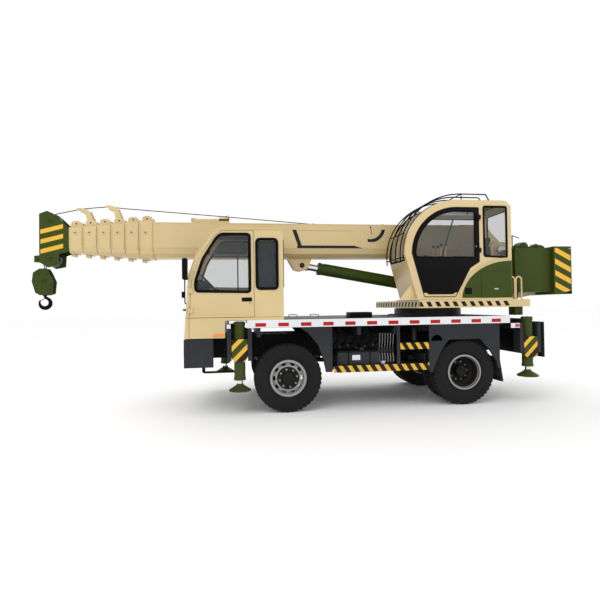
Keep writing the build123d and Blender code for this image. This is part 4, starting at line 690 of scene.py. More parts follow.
def bow(radius, low, high, step=9):
    """Points on the cab's bowed front, at angles up from its foremost point."""
    return arc_points(BOW, radius, radius, range(low, high + 1, step))


def frame_round(piece, outline, radius, y, thick):
    """Rubber seal along a rounded outline in the X, Z plane."""
    piece.loop([(x, y, z) for x, z in rounded(in_frame(outline), radius, 5)], thick)


def cushion(name, body, corner, far_corner, crown, look, tilt=0.0, pivot=None):
    """A crowned closed cushion with softened edges, tilted about a point."""
    bm = bmesh.new()
    bmesh.ops.create_cube(bm, size=1)
    bmesh.ops.subdivide_edges(bm, edges=bm.edges[:], cuts=3, use_grid_fill=True)
    low = Vector(corner)
    size = Vector(far_corner) - low
    for vert in bm.verts:
        from_middle = vert.co * 2
        x4, y4, z4 = (abs(part) ** 4 for part in from_middle)
        pulled = vert.co * (1 - 0.10 * (x4 * z4 + y4 * z4 + x4 * y4))
        vert.co = low + Vector((size[i] * (pulled[i] + 0.5) for i in range(3)))
        if from_middle.z > 0.9:
            vert.co.z += crown * (1 - from_middle.x ** 2) * (1 - from_middle.y ** 2) - crown
        if tilt:
            vert.co = Vector(pivot) + Matrix.Rotation(tilt, 3, "Y") @ (vert.co - Vector(pivot))
    for face in bm.faces:
        face.smooth = True
    mesh = bpy.data.meshes.new(name)
    bm.to_mesh(mesh)
    bm.free()
    obj = new_object(name, mesh, look)
    smooth = obj.modifiers.new("smooth", "SUBSURF")
    smooth.levels = smooth.render_levels = 2
    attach(obj, body)
    return obj


def straight_rope(name, body, start, end, steps, radius):
    """Rope in short steps between two points."""
    piece = Piece(name, body, rope)
    piece.tube([start.lerp(end, i / steps) for i in range(steps + 1)], radius, 8)
    return piece.done(ride=False)


# Wheels
def tyre_mesh(piece, centre, side, width):
    """A tyre with three grooves, shoulder lugs and ribbed sidewalls."""
    cx, cy, cz = centre
    half = width / 2 - 0.0015
    groove_floor = TYRE_RADIUS - 0.016
    wall = [(-half + 0.034, 0.2635), (-half + 0.022, 0.285), (-half + 0.016, 0.30), (-half + 0.004, 0.345),
            (-half, 0.395), (-half + 0.002, 0.425), (-half + 0.006, 0.455), (-half + 0.012, 0.482),
            (-half + 0.016, 0.498), (-half + 0.024, TYRE_RADIUS - 0.007),
            (-half + 0.036, TYRE_RADIUS - 0.0015)]
    crown = [(-0.052, TYRE_RADIUS), (-0.046, groove_floor), (-0.036, groove_floor), (-0.030, TYRE_RADIUS),
             (-0.006, TYRE_RADIUS), (-0.003, groove_floor)]
    crown += [(-y, radius) for y, radius in reversed(crown)]
    section = wall + crown + [(-y, radius) for y, radius in reversed(wall)]
    # The shoulders' points are cut down between the lugs
    last = len(section) - 1
    cuts = {8: 0.006, 9: 0.014, 10: 0.014, 11: 0.014}
    cuts.update({last - k: cut for k, cut in cuts.items()})
    lugs = 44
    rings = []
    for lug in range(lugs):
        for share, cut_down in ((0.0, False), (0.56, False), (0.64, True), (0.92, True)):
            angle = 2 * math.pi * (lug + share) / lugs
            ring = []
            for k, (y, radius) in enumerate(section):
                if cut_down:
                    radius -= cuts.get(k, 0)
                ring.append(piece.bm.verts.new((cx + radius * math.sin(angle), cy + side * y,
                                                cz + radius * math.cos(angle))))
            rings.append(ring)
    for a, b in zip(rings, rings[1:] + rings[:1]):
        for i in range(last):
            piece.face((a[i], a[i + 1], b[i + 1], b[i]))


def bead_rings(piece, centre, side, width):
    """Fine raised rings on the outer sidewall."""
    wall = side * (width / 2 - 0.011)
    for radius, out in ((0.318, 0.0055), (0.405, 0.0085), (0.452, 0.0045)):
        foot = wall + side * (out - 0.006)
        piece.lathe([(foot, radius - 0.004), (wall + side * out, radius), (foot, radius + 0.004)], centre,
                    (0, 1, 0), 96)


def tyres(side, name):
    """Front tyre and the pair of rear tyres of one side."""
    hub = (at(0), side * 1.0, HUB_Z)
    piece = Piece(f"tyre_{name}_front", f"wheel_front_{name}", tread)
    tyre_mesh(piece, hub, side, 0.26)
    bead_rings(piece, hub, side, 0.26)
    piece.done(smooth=28, replaces=[f"tyre_front_{name}"])
    piece = Piece(f"tyres_{name}_rear", f"wheels_rear_{name}", tread)
    for offset in (0.1475, -0.1475):
        tyre_mesh(piece, (at(REAR_AXLE), side * (0.86 + offset), HUB_Z), side, 0.245)
    bead_rings(piece, (at(REAR_AXLE), side * TWIN_Y, HUB_Z), side, 0.245)
    piece.done(smooth=28, replaces=[f"tyres_rear_{name}"])


def front_hub(side, name):
    """Dark hub plate with nuts, grease cap, the rim's bead and the valve."""
    piece = Piece(f"hub_{name}_front", f"wheel_front_{name}", gloss_black, silver, dark_steel, black)
    x, axis = at(0), (0, side, 0)
    plate_y = side * 1.08
    piece.lathe([(0, 0.100), (0.0, 0.172), (0.006, 0.172), (0.010, 0.166), (0.010, 0.10)],
                (x, plate_y, HUB_Z), axis, 48)
    piece.lathe([(0, 0.094), (0.045, 0.094), (0.056, 0.088), (0.058, 0.062), (0.064, 0.060), (0.066, 0.052),
                 (0.066, 0)], (x, plate_y, HUB_Z), axis, 40)
    piece.use(1).nut_ring(8, (x, plate_y + side * 0.009, HUB_Z), 0.137, 0.0185, 0.020, axis, 0.2)
    piece.use(2).nut_ring(6, (x, plate_y + side * 0.056, HUB_Z), 0.076, 0.007, 0.006, axis)
    piece.use(1).lathe([(0.0, 0.240), (0.014, 0.252), (0.030, 0.262), (0.032, 0.281), (0.022, 0.2825)],
                       (x, side * 1.078, HUB_Z), axis, 64)
    piece.use(3).tube([(x + 0.21, side * 1.075, HUB_Z + 0.02), (x + 0.222, side * 1.098, HUB_Z + 0.022)],
                      0.005)
    piece.done()


def rear_hub(side, name):
    """Deep dish with its ring of nuts, the axle shaft's flange and the rim's bead."""
    piece = Piece(f"hub_{name}_rear", f"wheels_rear_{name}", gloss_black, silver, dark_steel)
    x, axis = at(REAR_AXLE), (0, side, 0)
    dish_y = side * 0.872
    piece.lathe([(0, 0.100), (0, 0.195), (0.006, 0.195), (0.009, 0.188), (0.009, 0.10)], (x, dish_y, HUB_Z),
                axis, 48)
    piece.lathe([(0.11, 0.088), (0.140, 0.088), (0.147, 0.080), (0.150, 0.050), (0.156, 0.046), (0.156, 0)],
                (x, dish_y, HUB_Z), axis, 40)
    piece.use(1).nut_ring(10, (x, dish_y + side * 0.008, HUB_Z), 0.152, 0.0185, 0.028, axis)
    piece.use(2).nut_ring(8, (x, dish_y + side * 0.147, HUB_Z), 0.068, 0.008, 0.008, axis)
    piece.use(1).lathe([(0.0, 0.242), (0.012, 0.252), (0.022, 0.262), (0.026, 0.281), (0.018, 0.2825)],
                       (x, side * (TWIN_Y + 0.084), HUB_Z), axis, 64)
    piece.done()


for side, name in SIDES:
    tyres(side, name)
    front_hub(side, name)
    rear_hub(side, name)


# Carrier cab
door_pane = [(-1.385, 1.885), (-0.572, 1.869), (-0.572, 2.752), (-1.0, 2.752), (-1.075, 2.690),
             (-1.275, 2.370), (-1.385, 2.040)]
corner_pane = [(-0.468, 1.915), (-0.152, 1.915), (-0.152, 2.677), (-0.468, 2.677)]


def cab_door_trim():
    """Carrier cab's door: seals, handle, lock and crease."""
    piece = Piece("cab_door_trim", "carrier_door", rubber, black, sand, steel)
    frame_round(piece, door_pane, 0.05, SIDE_Y, 0.021)
    frame_round(piece, door_pane, 0.05, SIDE_Y + 0.04, 0.012)
    piece.use(1).box((at(-0.655), SIDE_Y - 0.028, 1.738), (at(-0.555), SIDE_Y - 0.001, 1.772), 0.008)
    piece.use(1).box((at(-0.70), SIDE_Y - 0.006, 1.725), (at(-0.545), SIDE_Y, 1.785), 0.004)
    piece.use(3).disc((at(-0.575), SIDE_Y - 0.004, 1.700), 0.012, 0.005, (0, -1, 0), 16)
    piece.use(2).prism([(at(x), z) for x, z in ((-1.43, 1.53), (-0.54, 1.53), (-0.54, 1.548),
                                                (-1.43, 1.548))], SIDE_Y - 0.003, SIDE_Y, 0.002)
    piece.done()


def cab_side_trim():
    """Carrier cab's side with the corner window's seal."""
    piece = Piece("cab_side_trim", "carrier", rubber, black, sand, white, amber)
    frame_round(piece, corner_pane, 0.06, SIDE_Y, 0.021)
    # Rain gutter, seams and the pillar's crease
    gutter = [(at(-1.50), 2.07), (at(-1.375), 2.44), (at(-1.150), 2.785), (at(-1.01), 2.835),
              (at(-0.12), 2.828)]
    piece.use(2).tube([(x, SIDE_Y - 0.004, z) for x, z in gutter], 0.009, 6)
    piece.use(1).box((at(-1.488), SIDE_Y - 0.002, 1.18), (at(-1.484), SIDE_Y, 1.49))
    piece.use(1).box((at(-1.55), SIDE_Y - 0.0015, 1.483), (at(-0.10), SIDE_Y, 1.486))
    piece.use(2).box((at(-0.062), SIDE_Y + 0.06, 1.50), (at(-0.052), -0.42, 1.53), 0.003)
    piece.done()


def cab_front_trim():
    """Windscreen, inner and back windows."""
    piece = Piece("cab_front_trim", "carrier", rubber, black, sand, dark_steel, clear_lens, amber)
    screen_y = (-1.065, -0.405)
    edge = [(-1.497, 2.075), (-1.379, 2.415), (-1.163, 2.742)]
    for y in screen_y:
        piece.tube([(at(x) - 0.004, y, z) for x, z in edge], 0.020, 6)
    for x, z in (edge[0], edge[2]):
        piece.tube([(at(x) - 0.004, screen_y[0], z), (at(x) - 0.004, screen_y[1], z)], 0.020, 6)
    for y in (-0.318, -0.362):
        frame_round(piece, door_pane, 0.05, y, 0.014)
    piece.tube([(at(-0.761), -0.345, 1.88), (at(-0.761), -0.345, 2.75)], 0.011, 6)
    piece.tube([(at(-1.25), -0.345, 2.495), (at(-0.575), -0.345, 2.495)], 0.010, 6)
    back = rounded([(-1.065, 1.95), (-0.405, 1.95), (-0.405, 2.68), (-1.065, 2.68)], 0.05, 5)
    piece.loop([(at(-0.058), y, z) for y, z in back], 0.018)
    # Wipers
    for y in (-0.93, -0.62):
        foot = Vector((at(-1.505), y, 2.045))
        tip = Vector((at(-1.423), y + 0.16, 2.31))
        piece.use(1).tube([foot, foot.lerp(tip, 0.5) + Vector((-0.02, 0, 0.004)), tip], 0.006, 6)
        low_end, high_end = tip + Vector((-0.025, -0.12, -0.16)), tip + Vector((0.03, 0.10, 0.12))
        piece.tube([low_end + Vector((-0.012, 0, 0)), high_end + Vector((-0.012, 0, 0))], 0.007, 6)
        piece.disc(foot + Vector((0.012, 0, 0)), 0.018, 0.03, (-1, 0, 0.1), 12)
    # Front panel: seams, blank plate, handle bracket
    piece.use(2).prism([(at(-1.5495), 1.30), (at(-1.5165), 1.75), (at(-1.5085), 1.75), (at(-1.5415), 1.30)],
                       -1.08, -0.38, 0.003)
    piece.use(1).box((at(-1.592), -1.135, 1.79), (at(-1.545), -1.075, 1.885), 0.008)
    piece.use(1).tube([(at(-1.545), -1.02, 1.60), (at(-1.58), -1.02, 1.61), (at(-1.58), -0.45, 1.61),
                       (at(-1.545), -0.45, 1.60)], 0.010, 8)
    piece.done()


def cab_inner_trim():
    """Headlining, visors and the inside of the half cab."""
    piece = Piece("cab_inner_trim", "carrier", visor, black, seat_cloth, steel)
    piece.box((at(-1.12), -1.09, 2.775), (at(-0.15), -0.38, 2.800), 0.01)
    piece.prism(rounded([(at(-1.20), 2.525), (at(-0.60), 2.525), (at(-0.60), 2.72), (at(-1.07), 2.72)], 0.05),
                -0.388, -0.374, 0.003)
    piece.use(1).prism(rounded([(at(-1.12), 2.56), (at(-0.62), 2.56), (at(-0.62), 2.57), (at(-1.115), 2.57)],
                               0.003), -0.392, -0.388)
    piece.use(0).box((at(-1.235), -1.03, 2.50), (at(-1.215), -0.48, 2.66), 0.008)
    piece.use(2).box((at(-0.104), -1.105, 1.485), (at(-0.101), -0.362, 1.945), 0.001)
    piece.box((at(-0.104), -1.105, 2.685), (at(-0.101), -0.362, 2.77), 0.001)
    piece.box((at(-1.47), -0.3635, 1.485), (at(-0.11), -0.361, 1.86), 0.001)
    piece.box((at(-0.55), -0.3635, 1.86), (at(-0.11), -0.361, 2.76), 0.001)
    piece.use(1).box((at(-1.43), -1.05, 1.93), (at(-1.30), -0.40, 1.955), 0.01)
    piece.prism(rounded([(at(-1.44), 1.932), (at(-1.22), 1.932), (at(-1.20), 2.015), (at(-1.30), 2.075),
                         (at(-1.41), 2.040)], 0.03), -1.0, -0.56, 0.01)
    for i in range(3):
        piece.use(3).disc((at(-1.30), -0.80 + i * 0.075, 1.865), 0.028, 0.006, (1, 0, 0.2), 20)
    piece.use(1).tube([(at(-1.15), -0.45, 1.48), (at(-1.12), -0.45, 1.70), (at(-1.10), -0.45, 1.90)], 0.012,
                      8)
    piece.disc((at(-1.10), -0.45, 1.90), 0.028, 0.045, (0.1, 0, 1), 16)
    piece.done()


cab_door_trim()
cab_side_trim()
cab_front_trim()
cab_inner_trim()


# Driver's seat
cushion("driver_cushion", "carrier", (at(-0.83), -1.0, 1.785), (at(-0.36), -0.52, 1.845), 0.02, seat_cloth)


def mirror_heads():
    """Mirrors: rounded heads on bent tube arms."""
    piece = Piece("mirror_heads", "carrier", black, mirror_face)
    for side, bar_x, foot_x in ((-1, -1.565, -1.5231), (1, -1.585, -1.5426)):
        front, back = at(bar_x) + 0.001, at(bar_x) + 0.079
        outline = rounded([(front, 2.053), (back - 0.012, 2.053), (back, 2.075), (back, 2.350),
                           (back - 0.012, 2.372), (front, 2.372)], 0.028, 3)
        piece.use(0).prism(outline, side * 1.182, side * 1.278, 0.010)
        piece.use(1).box((back - 0.002, side * 1.194, 2.085), (back + 0.0005, side * 1.266, 2.345), 0.0005)
        mid = at(bar_x) + 0.010
        piece.use(0).tube([(at(foot_x), side * 1.032, 1.702), (mid + 0.012, side * 1.033, 1.702),
                           (mid, side * 1.036, 1.716), (mid, side * 1.034, 2.07), (mid, side * 1.050, 2.10),
                           (mid, side * 1.20, 2.10)], 0.0095, 8)
    piece.done(replaces=["mirrors"])


mirror_heads()


# Hood, bumper and lamps
def hood_trim():
    """Hood: grille, raised top panel, side louvres, latches and upright pipe."""
    piece = Piece("hood_trim", "carrier", black, sand, dark_steel, rubber)
    for k in range(9):
        piece.box((at(-1.548), 0.078, 1.262 + k * 0.064), (at(-1.536), 0.882, 1.272 + k * 0.064), 0.002)
    for k in range(22):
        y = 0.10 + k * 0.036
        piece.box((at(-1.5345), y, 1.25), (at(-1.532), y + 0.004, 1.84))
    piece.use(1).box((at(-1.30), 0.02, 1.983), (at(-0.30), 0.78, 1.989), 0.003)
    for k in range(12):
        x = at(-1.15) + k * 0.055
        piece.use(0).box((x, 1.1085, 1.62), (x + 0.028, 1.113, 1.84), 0.002)
    for y in (0.0, 0.8):
        piece.use(2).box((at(-1.49), y, 1.942), (at(-1.43), y + 0.05, 1.962), 0.006)
    piece.use(0).tube([(at(-0.35), 0.9, 1.95), (at(-0.35), 0.9, 2.045), (at(-0.30), 0.9, 2.06),
                       (at(-0.22), 0.9, 2.062)], 0.038, 16)
    piece.done()


def bumper_trim():
    """Bumper: grille bars, end plates, tow pins and blank plate."""
    piece = Piece("bumper_trim", "carrier", charcoal, black, dark_steel, silver, white)
    piece.use(1).box((at(-1.5675), -0.62, 0.86), (at(-1.565), 0.62, 1.04))
    for k in range(5):
        piece.use(0).box((at(-1.569), -0.60, 0.885 + k * 0.034), (at(-1.566), 0.60, 0.897 + k * 0.034))
    for side in (-1, 1):
        piece.use(1).box((at(-1.500), side * 1.1496, 0.745), (at(-1.497), side * 1.151, 1.158))
        piece.use(2).tube([(at(-1.568), side * 0.72, 0.80), (at(-1.568), side * 0.72, 0.84)], 0.02, 12)
    piece.use(4).box((at(-1.5715), -0.24, 0.905), (at(-1.5695), 0.24, 1.015), 0.001)
    piece.done()


def head_lamps():
    """Headlamps and turn signals."""
    piece = Piece("head_lamps", "carrier", clear_lens, black, amber, silver)
    for side in (-1, 1):
        middle = (at(-1.572), side * 0.9, 0.96)
        piece.use(3).lathe([(0.0, 0.088), (-0.010, 0.088), (-0.012, 0.080), (-0.004, 0.076)], middle,
                           (1, 0, 0), 40)
        piece.use(0).lathe([(-0.002, 0.079), (-0.010, 0.066), (-0.016, 0.040), (-0.018, 0)], middle,
                           (1, 0, 0), 40)
        piece.use(2).box((at(-1.574), side * 1.03, 0.90), (at(-1.566), side * 1.12, 1.02), 0.003)
    piece.use(2).box((at(-1.13), -1.1615, 1.198), (at(-0.97), -1.1505, 1.240), 0.004)
    piece.done()


hood_trim()
bumper_trim()
head_lamps()


# Deck and chassis
def deck_plate_top():
    """Tread plates on the deck."""
    piece = Piece("deck_plate_top", "carrier", plate, black, dark_steel, white, carrier_strip)
    under, top = 1.4372, 1.4398
    piece.box((at(-0.60), -1.11, under), (at(1.98), 1.11, top), 0.001)
    piece.box((at(3.36), -1.11, under), (at(3.55), 0.92, top), 0.001)
    # Low box and loops on the deck
    piece.use(1).box((at(1.02), -1.02, 1.4400), (at(1.38), -0.72, 1.532), 0.008)
    piece.use(1).box((at(1.04), -1.03, 1.478), (at(1.36), -1.021, 1.520), 0.003)
    piece.use(2).tube([(at(1.66), -0.95, 1.440), (at(1.67), -0.95, 1.478), (at(1.70), -0.95, 1.487),
                       (at(2.02), -0.95, 1.487), (at(2.05), -0.95, 1.478), (at(2.06), -0.95, 1.440)], 0.010,
                      8)
    for x in (0.2, 0.62):
        piece.use(2).tube([(at(x), 0.60, 1.44), (at(x), 0.60, 1.475), (at(x) + 0.06, 0.60, 1.482),
                           (at(x) + 0.16, 0.60, 1.475), (at(x) + 0.17, 0.60, 1.44)], 0.008, 8)
    # White plate behind the deck on the driver's side, and the cap of the front post
    piece.use(3).box((at(3.697), -1.150, 1.234), (at(3.855), -1.142, 1.312), 0.002)
    piece.use(3).box((at(-0.930), -1.1485, 1.3148), (at(-0.872), -1.06, 1.378), 0.004)
    piece.done()


def rear_red_mark():
    """Red reflector behind the deck on the driver's side; its red lens glows faintly, a painted glow on a
    part that only reflects light.
    """
    piece = Piece("rear_red_mark", "carrier", red_lens, charcoal)
    piece.box((at(3.77), -1.1515, 1.248), (at(3.85), -1.1495, 1.300), 0.001)
    piece.use(1).tube([(at(3.72), -1.10, 1.25), (at(3.72), -0.80, 1.25)], 0.014, 8)
    piece.done()


def chassis_fittings():
    """Frame fittings: air tanks, hoses, silencer, cross bolts."""
    piece = Piece("chassis_fittings", "carrier", chassis, dark_steel, brass, silver, rubber)
    for y in (-0.60, 0.60):
        piece.use(0).lathe([(0, 0), (0.01, 0.06), (0.05, 0.10), (0.48, 0.10), (0.52, 0.06), (0.53, 0)],
                           (at(1.78), y, 0.86), (1, 0, 0), 24)
        for x in (1.9, 2.18):
            piece.use(1).lathe([(0, 0.102), (0, 0.106), (0.03, 0.106), (0.03, 0.102)], (at(x), y, 0.86),
                               (1, 0, 0), 24)
    for k, y in enumerate((-0.345, -0.325, 0.325, 0.345)):
        points = [(at(-1.3), y, 1.02 + 0.02 * k), (at(-0.4), y, 1.06), (at(0.6), y, 1.03), (at(1.6), y, 1.05),
                  (at(2.6), y, 1.02), (at(3.9), y, 1.05)]
        piece.use(4).tube(points, 0.011, 8)
    piece.use(1).lathe([(0, 0), (0.005, 0.11), (0.03, 0.125), (0.60, 0.125), (0.63, 0.10), (0.63, 0)],
                       (at(0.62), 0.62, 1.02), (1, 0, 0), 24)
    piece.tube([(at(0.40), 0.285, 0.92), (at(0.50), 0.45, 0.95), (at(0.62), 0.62, 1.02)], 0.035, 12)
    piece.tube([(at(1.25), 0.62, 1.02), (at(1.5), 0.75, 0.90), (at(1.72), 1.02, 0.86)], 0.032, 12)
    for x in (-1.0, -0.35, 0.35, 1.2, 2.0, 2.6, 3.2):
        for y in (-0.4315, 0.4315):
            for z in (0.86, 0.93, 1.0):
                piece.use(1).nut((at(x), y, z), 0.011, 0.009, (0, math.copysign(1, y), 0))
    # Gearbox behind the engine, leading to the propeller shaft
    piece.use(1).lathe([(0, 0), (0, 0.13), (0.05, 0.17), (0.09, 0.155), (0.09, 0)], (at(-0.49), 0, 0.86),
                       (1, 0, 0), 24)
    piece.done()


def axle_fittings():
    """U-bolts, spring plates and brake chambers on both axles."""
    piece = Piece("axle_fittings", "carrier", chassis, dark_steel, silver)
    for axle, base in ((0.0, 0.57), (REAR_AXLE, 0.592)):
        for side in (-1, 1):
            y = side * 0.40
            for dx in (-0.07, 0.07):
                piece.use(1).tube([(at(axle + dx), y - 0.045, base - 0.10),
                                   (at(axle + dx), y - 0.045, base + 0.075),
                                   (at(axle + dx), y + 0.045, base + 0.075),
                                   (at(axle + dx), y + 0.045, base - 0.10)], 0.008, 8)
            piece.use(0).box((at(axle) - 0.10, y - 0.05, base + 0.060),
                             (at(axle) + 0.10, y + 0.05, base + 0.074), 0.004)
            piece.use(1).lathe([(0, 0), (0, 0.06), (0.02, 0.075), (0.09, 0.075), (0.11, 0.05), (0.11, 0)],
                               (at(axle - 0.20), side * 0.46 + (0.12 if side > 0 else -0.12), base - 0.05),
                               (0, side, 0), 20)
    piece.use(2).lathe([(0, 0), (0.0, 0.09), (0.02, 0.11), (0.03, 0)], (at(REAR_AXLE) + 0.188, 0, HUB_Z),
                       (1, 0, 0), 24)
    piece.use(1).nut_ring(8, (at(REAR_AXLE) - 0.165, 0, HUB_Z), 0.10, 0.010, 0.014, (-1, 0, 0))
    piece.done()


def skirt_trim():
    """Skirt trim: arch lips, bolts, lamp board."""
    piece = Piece("skirt_trim", "carrier", black, charcoal, dark_steel, red_lens, amber, white)
    front_arch = [(0.186, 1.305), (0.31, 1.225), (0.464, 1.036), (0.55, 0.80), (0.588, 0.612)]
    rear_arch = [(2.345, 0.60), (2.467, 0.87), (2.56, 1.01), (2.62, 1.066), (3.146, 1.066), (3.30, 0.89),
                 (3.435, 0.68)]
    for side in (-1, 1):
        for arch in (front_arch, rear_arch):
            piece.use(0).tube([(at(x), side * 1.146, z) for x, z in arch], 0.007, 6)
        for x, z in ((0.65, 0.66), (0.65, 1.27), (0.25, 1.28), (2.30, 1.27), (3.46, 1.27), (3.46, 0.62),
                     (2.30, 0.62), (1.815, 0.74), (1.815, 1.28)):
            piece.use(2).nut((at(x), side * 1.1502, z), 0.008, 0.004, (0, side, 0))
        piece.use(0).box((at(3.50), side * 0.86, 0.36), (at(3.552), side * 1.13, 0.40), 0.004)
    for side in (-1, 1):
        for k, look in enumerate((3, 3, 4)):
            y = side * (0.76 + k * 0.11)
            piece.use(look).box((at(4.290), y - 0.045, 1.135), (at(4.318), y + 0.045, 1.215), 0.006)
        piece.use(2).tube([(at(4.29), side * 0.55, 0.80), (at(4.33), side * 0.55, 0.80),
                           (at(4.33), side * 0.95, 0.80), (at(4.29), side * 0.95, 0.80)], 0.010, 8)
    piece.use(5).box((at(4.2905), -0.26, 1.12), (at(4.294), 0.26, 1.24), 0.001)
    piece.done()


def bay_fittings():
    """Left bay: battery box with straps and blank label, valve bank with levers and hoses."""
    piece = Piece("bay_fittings", "carrier", charcoal, dark_steel, white, steel, rubber, brass, black)
    shelf = 0.7005
    piece.use(0).box((at(0.790), -1.084, shelf), (at(1.462), -1.078, 0.905), 0.004)
    for x in (0.95, 1.30):
        piece.use(6).box((at(x), -1.090, shelf), (at(x) + 0.022, -1.078, 0.917), 0.002)
    piece.use(6).box((at(0.785), -1.090, 0.896), (at(1.465), -0.675, 0.921), 0.004)
    piece.use(2).box((at(1.02), -1.0915, 0.776), (at(1.15), -1.0895, 0.856), 0.001)
    piece.use(2).lathe(cap(0.036, 0.034, 0.028, 0.042),
                       (at(1.545), -1.02, shelf), (0, 0, 1), 20)
    piece.use(1).box((at(1.16), -1.04, 0.922), (at(1.22), -0.98, 0.965), 0.004)
    piece.use(4).hose((at(1.19), -1.01, 0.965), (at(1.21), -0.95, 1.10), (at(1.25), -0.7, 1.12), 0.010)
    for k in range(6):
        x = at(1.50) + k * 0.045
        piece.use(1).box((x - 0.016, -0.975, 0.86), (x + 0.016, -0.90, 0.955), 0.003)
        piece.use(3).tube([(x, -0.965, 0.95), (x, -1.00, 1.05), (x, -1.02, 1.19)], 0.0055, 8)
        piece.use(6).lathe([(0, 0), (0.002, 0.011), (0.014, 0.016), (0.028, 0.011), (0.032, 0)],
                           (x, -1.022, 1.188), (0, -0.1, 1), 12)
        piece.use(3).tube([(x, -0.98, 0.86), (x, -1.00, 0.80), (x, -1.00, 0.74)], 0.006, 8)
        piece.use(3).lathe(cylinder(0.011, 0.02), (x, -1.00, 0.722), (0, 0, 1), 10)
    for k in range(7):
        x = at(0.78) + k * 0.145
        top = (x + 0.06, -0.55, 1.30)
        piece.use(4).hose((x, -0.62, 0.93 + 0.02 * (k % 3)), (x + 0.10, -0.70, 1.12), top, 0.013)
        piece.use(5).lathe(cylinder(0.017, 0.03), (x, -0.62, 0.915 + 0.02 * (k % 3)),
                           (0, 0, 1), 8)
    for k in range(3):
        piece.use(4).hose((at(0.74), -0.95, 1.16 + k * 0.035), (at(1.2), -0.90, 1.10 + k * 0.035),
                          (at(1.72), -0.95, 1.15 + k * 0.03), 0.012)
    piece.use(0).box((at(0.72), -0.47, 0.82), (at(1.75), -0.44, 1.30), 0.005)
    # Extinguisher in the bay behind the upper step
    piece.use(1).lathe([(0, 0), (0.0, 0.045), (0.20, 0.045), (0.23, 0.02), (0.26, 0.016), (0.26, 0)],
                       (at(2.12), -0.90, 1.045), (0, 0, 1), 20)
    piece.done()


def tank_fittings():
    """Right side: tank straps, cap and filler, tool box."""
    piece = Piece("tank_fittings", "carrier", dark_steel, black, silver, charcoal)
    for x in (0.92, 1.28, 1.56):
        piece.use(0).box((at(x), 0.60, 1.1215), (at(x) + 0.03, 1.045, 1.1255), 0.001)
        piece.use(0).box((at(x), 1.0405, 0.72), (at(x) + 0.03, 1.0445, 1.12), 0.001)
    piece.use(1).lathe(cap(0.045, 0.03, 0.038, 0.036),
                       (at(0.88), 0.92, 1.1195), (0, 0, 1), 20)
    piece.use(3).box((at(1.90), 0.66, 0.715), (at(2.22), 0.92, 1.02), 0.012)
    piece.use(0).box((at(2.02), 0.92, 0.90), (at(2.10), 0.926, 0.94), 0.003)
    piece.done()


deck_plate_top()
rear_red_mark()
chassis_fittings()
axle_fittings()
skirt_trim()
bay_fittings()
tank_fittings()


# Outriggers
def leg_trim(name, side, x, low):
    """Collars, bands, head bolts and hoses of the jack's outer tube."""
    piece = Piece(f"leg_trim_{name}", f"leg_{name}", green, rubber, brass, dark_steel)
    post = (at(x), side * 1.05, 0)
    piece.use(0).lathe([(low - 0.004, 0.083), (low - 0.004, 0.092), (low + 0.030, 0.092),
                        (low + 0.040, 0.088), (low + 0.052, 0.0855)], post, (0, 0, 1), 36)
    piece.lathe([(1.36, 0.0855), (1.365, 0.092), (1.395, 0.092), (1.4125, 0.080), (1.4125, 0)], post,
                (0, 0, 1), 36)
    for z in (1.18, 0.70):
        piece.lathe([(z, 0.0855), (z, 0.0895), (z + 0.016, 0.0895), (z + 0.016, 0.0855)], post, (0, 0, 1), 36)
    piece.use(3).nut_ring(4, (post[0], post[1], 1.4115), 0.060, 0.008, 0.006, (0, 0, 1), math.pi / 4)
    for dx in (-0.028, 0.028):
        piece.use(1).hose((post[0] + dx, post[1] - side * 0.084, 0.98),
                          (post[0] + dx, post[1] - side * 0.135, 1.08),
                          (post[0] + dx, post[1] - side * 0.12, 1.186), 0.008)
        piece.use(2).lathe(cylinder(0.012, 0.018),
                           (post[0] + dx, post[1] - side * 0.078, 0.98), (0, -side, 0), 8)
    piece.done()


def foot_trim(name, side, x, low):
    """Raised middle and rim of the pad, and the jack's bright rod."""
    piece = Piece(f"foot_trim_{name}", f"foot_{name}", green, chrome)
    post = (at(x), side * 1.05, 0)
    pad = 0.36 if name.startswith("front") else 0.42
    piece.use(0).lathe([(pad + 0.018, 0.165), (pad + 0.022, 0.160), (pad + 0.040, 0.110),
                        (pad + 0.062, 0.066), (pad + 0.085, 0.060), (pad + 0.100, 0.052),
                        (pad + 0.112, 0.047)], post, (0, 0, 1), 40)
    piece.use(0).lathe([(pad, 0.150), (pad, 0.166), (pad + 0.006, 0.1678), (pad + 0.018, 0.1678),
                        (pad + 0.019, 0.160)], post, (0, 0, 1), 48)
    piece.use(1).lathe([(pad + 0.112, 0.0455), (low - 0.001, 0.0455)], post, (0, 0, 1), 32)
    piece.done()


for name, side, x, low in LEGS:
    leg_trim(name, side, x, low)
    foot_trim(name, side, x, low)


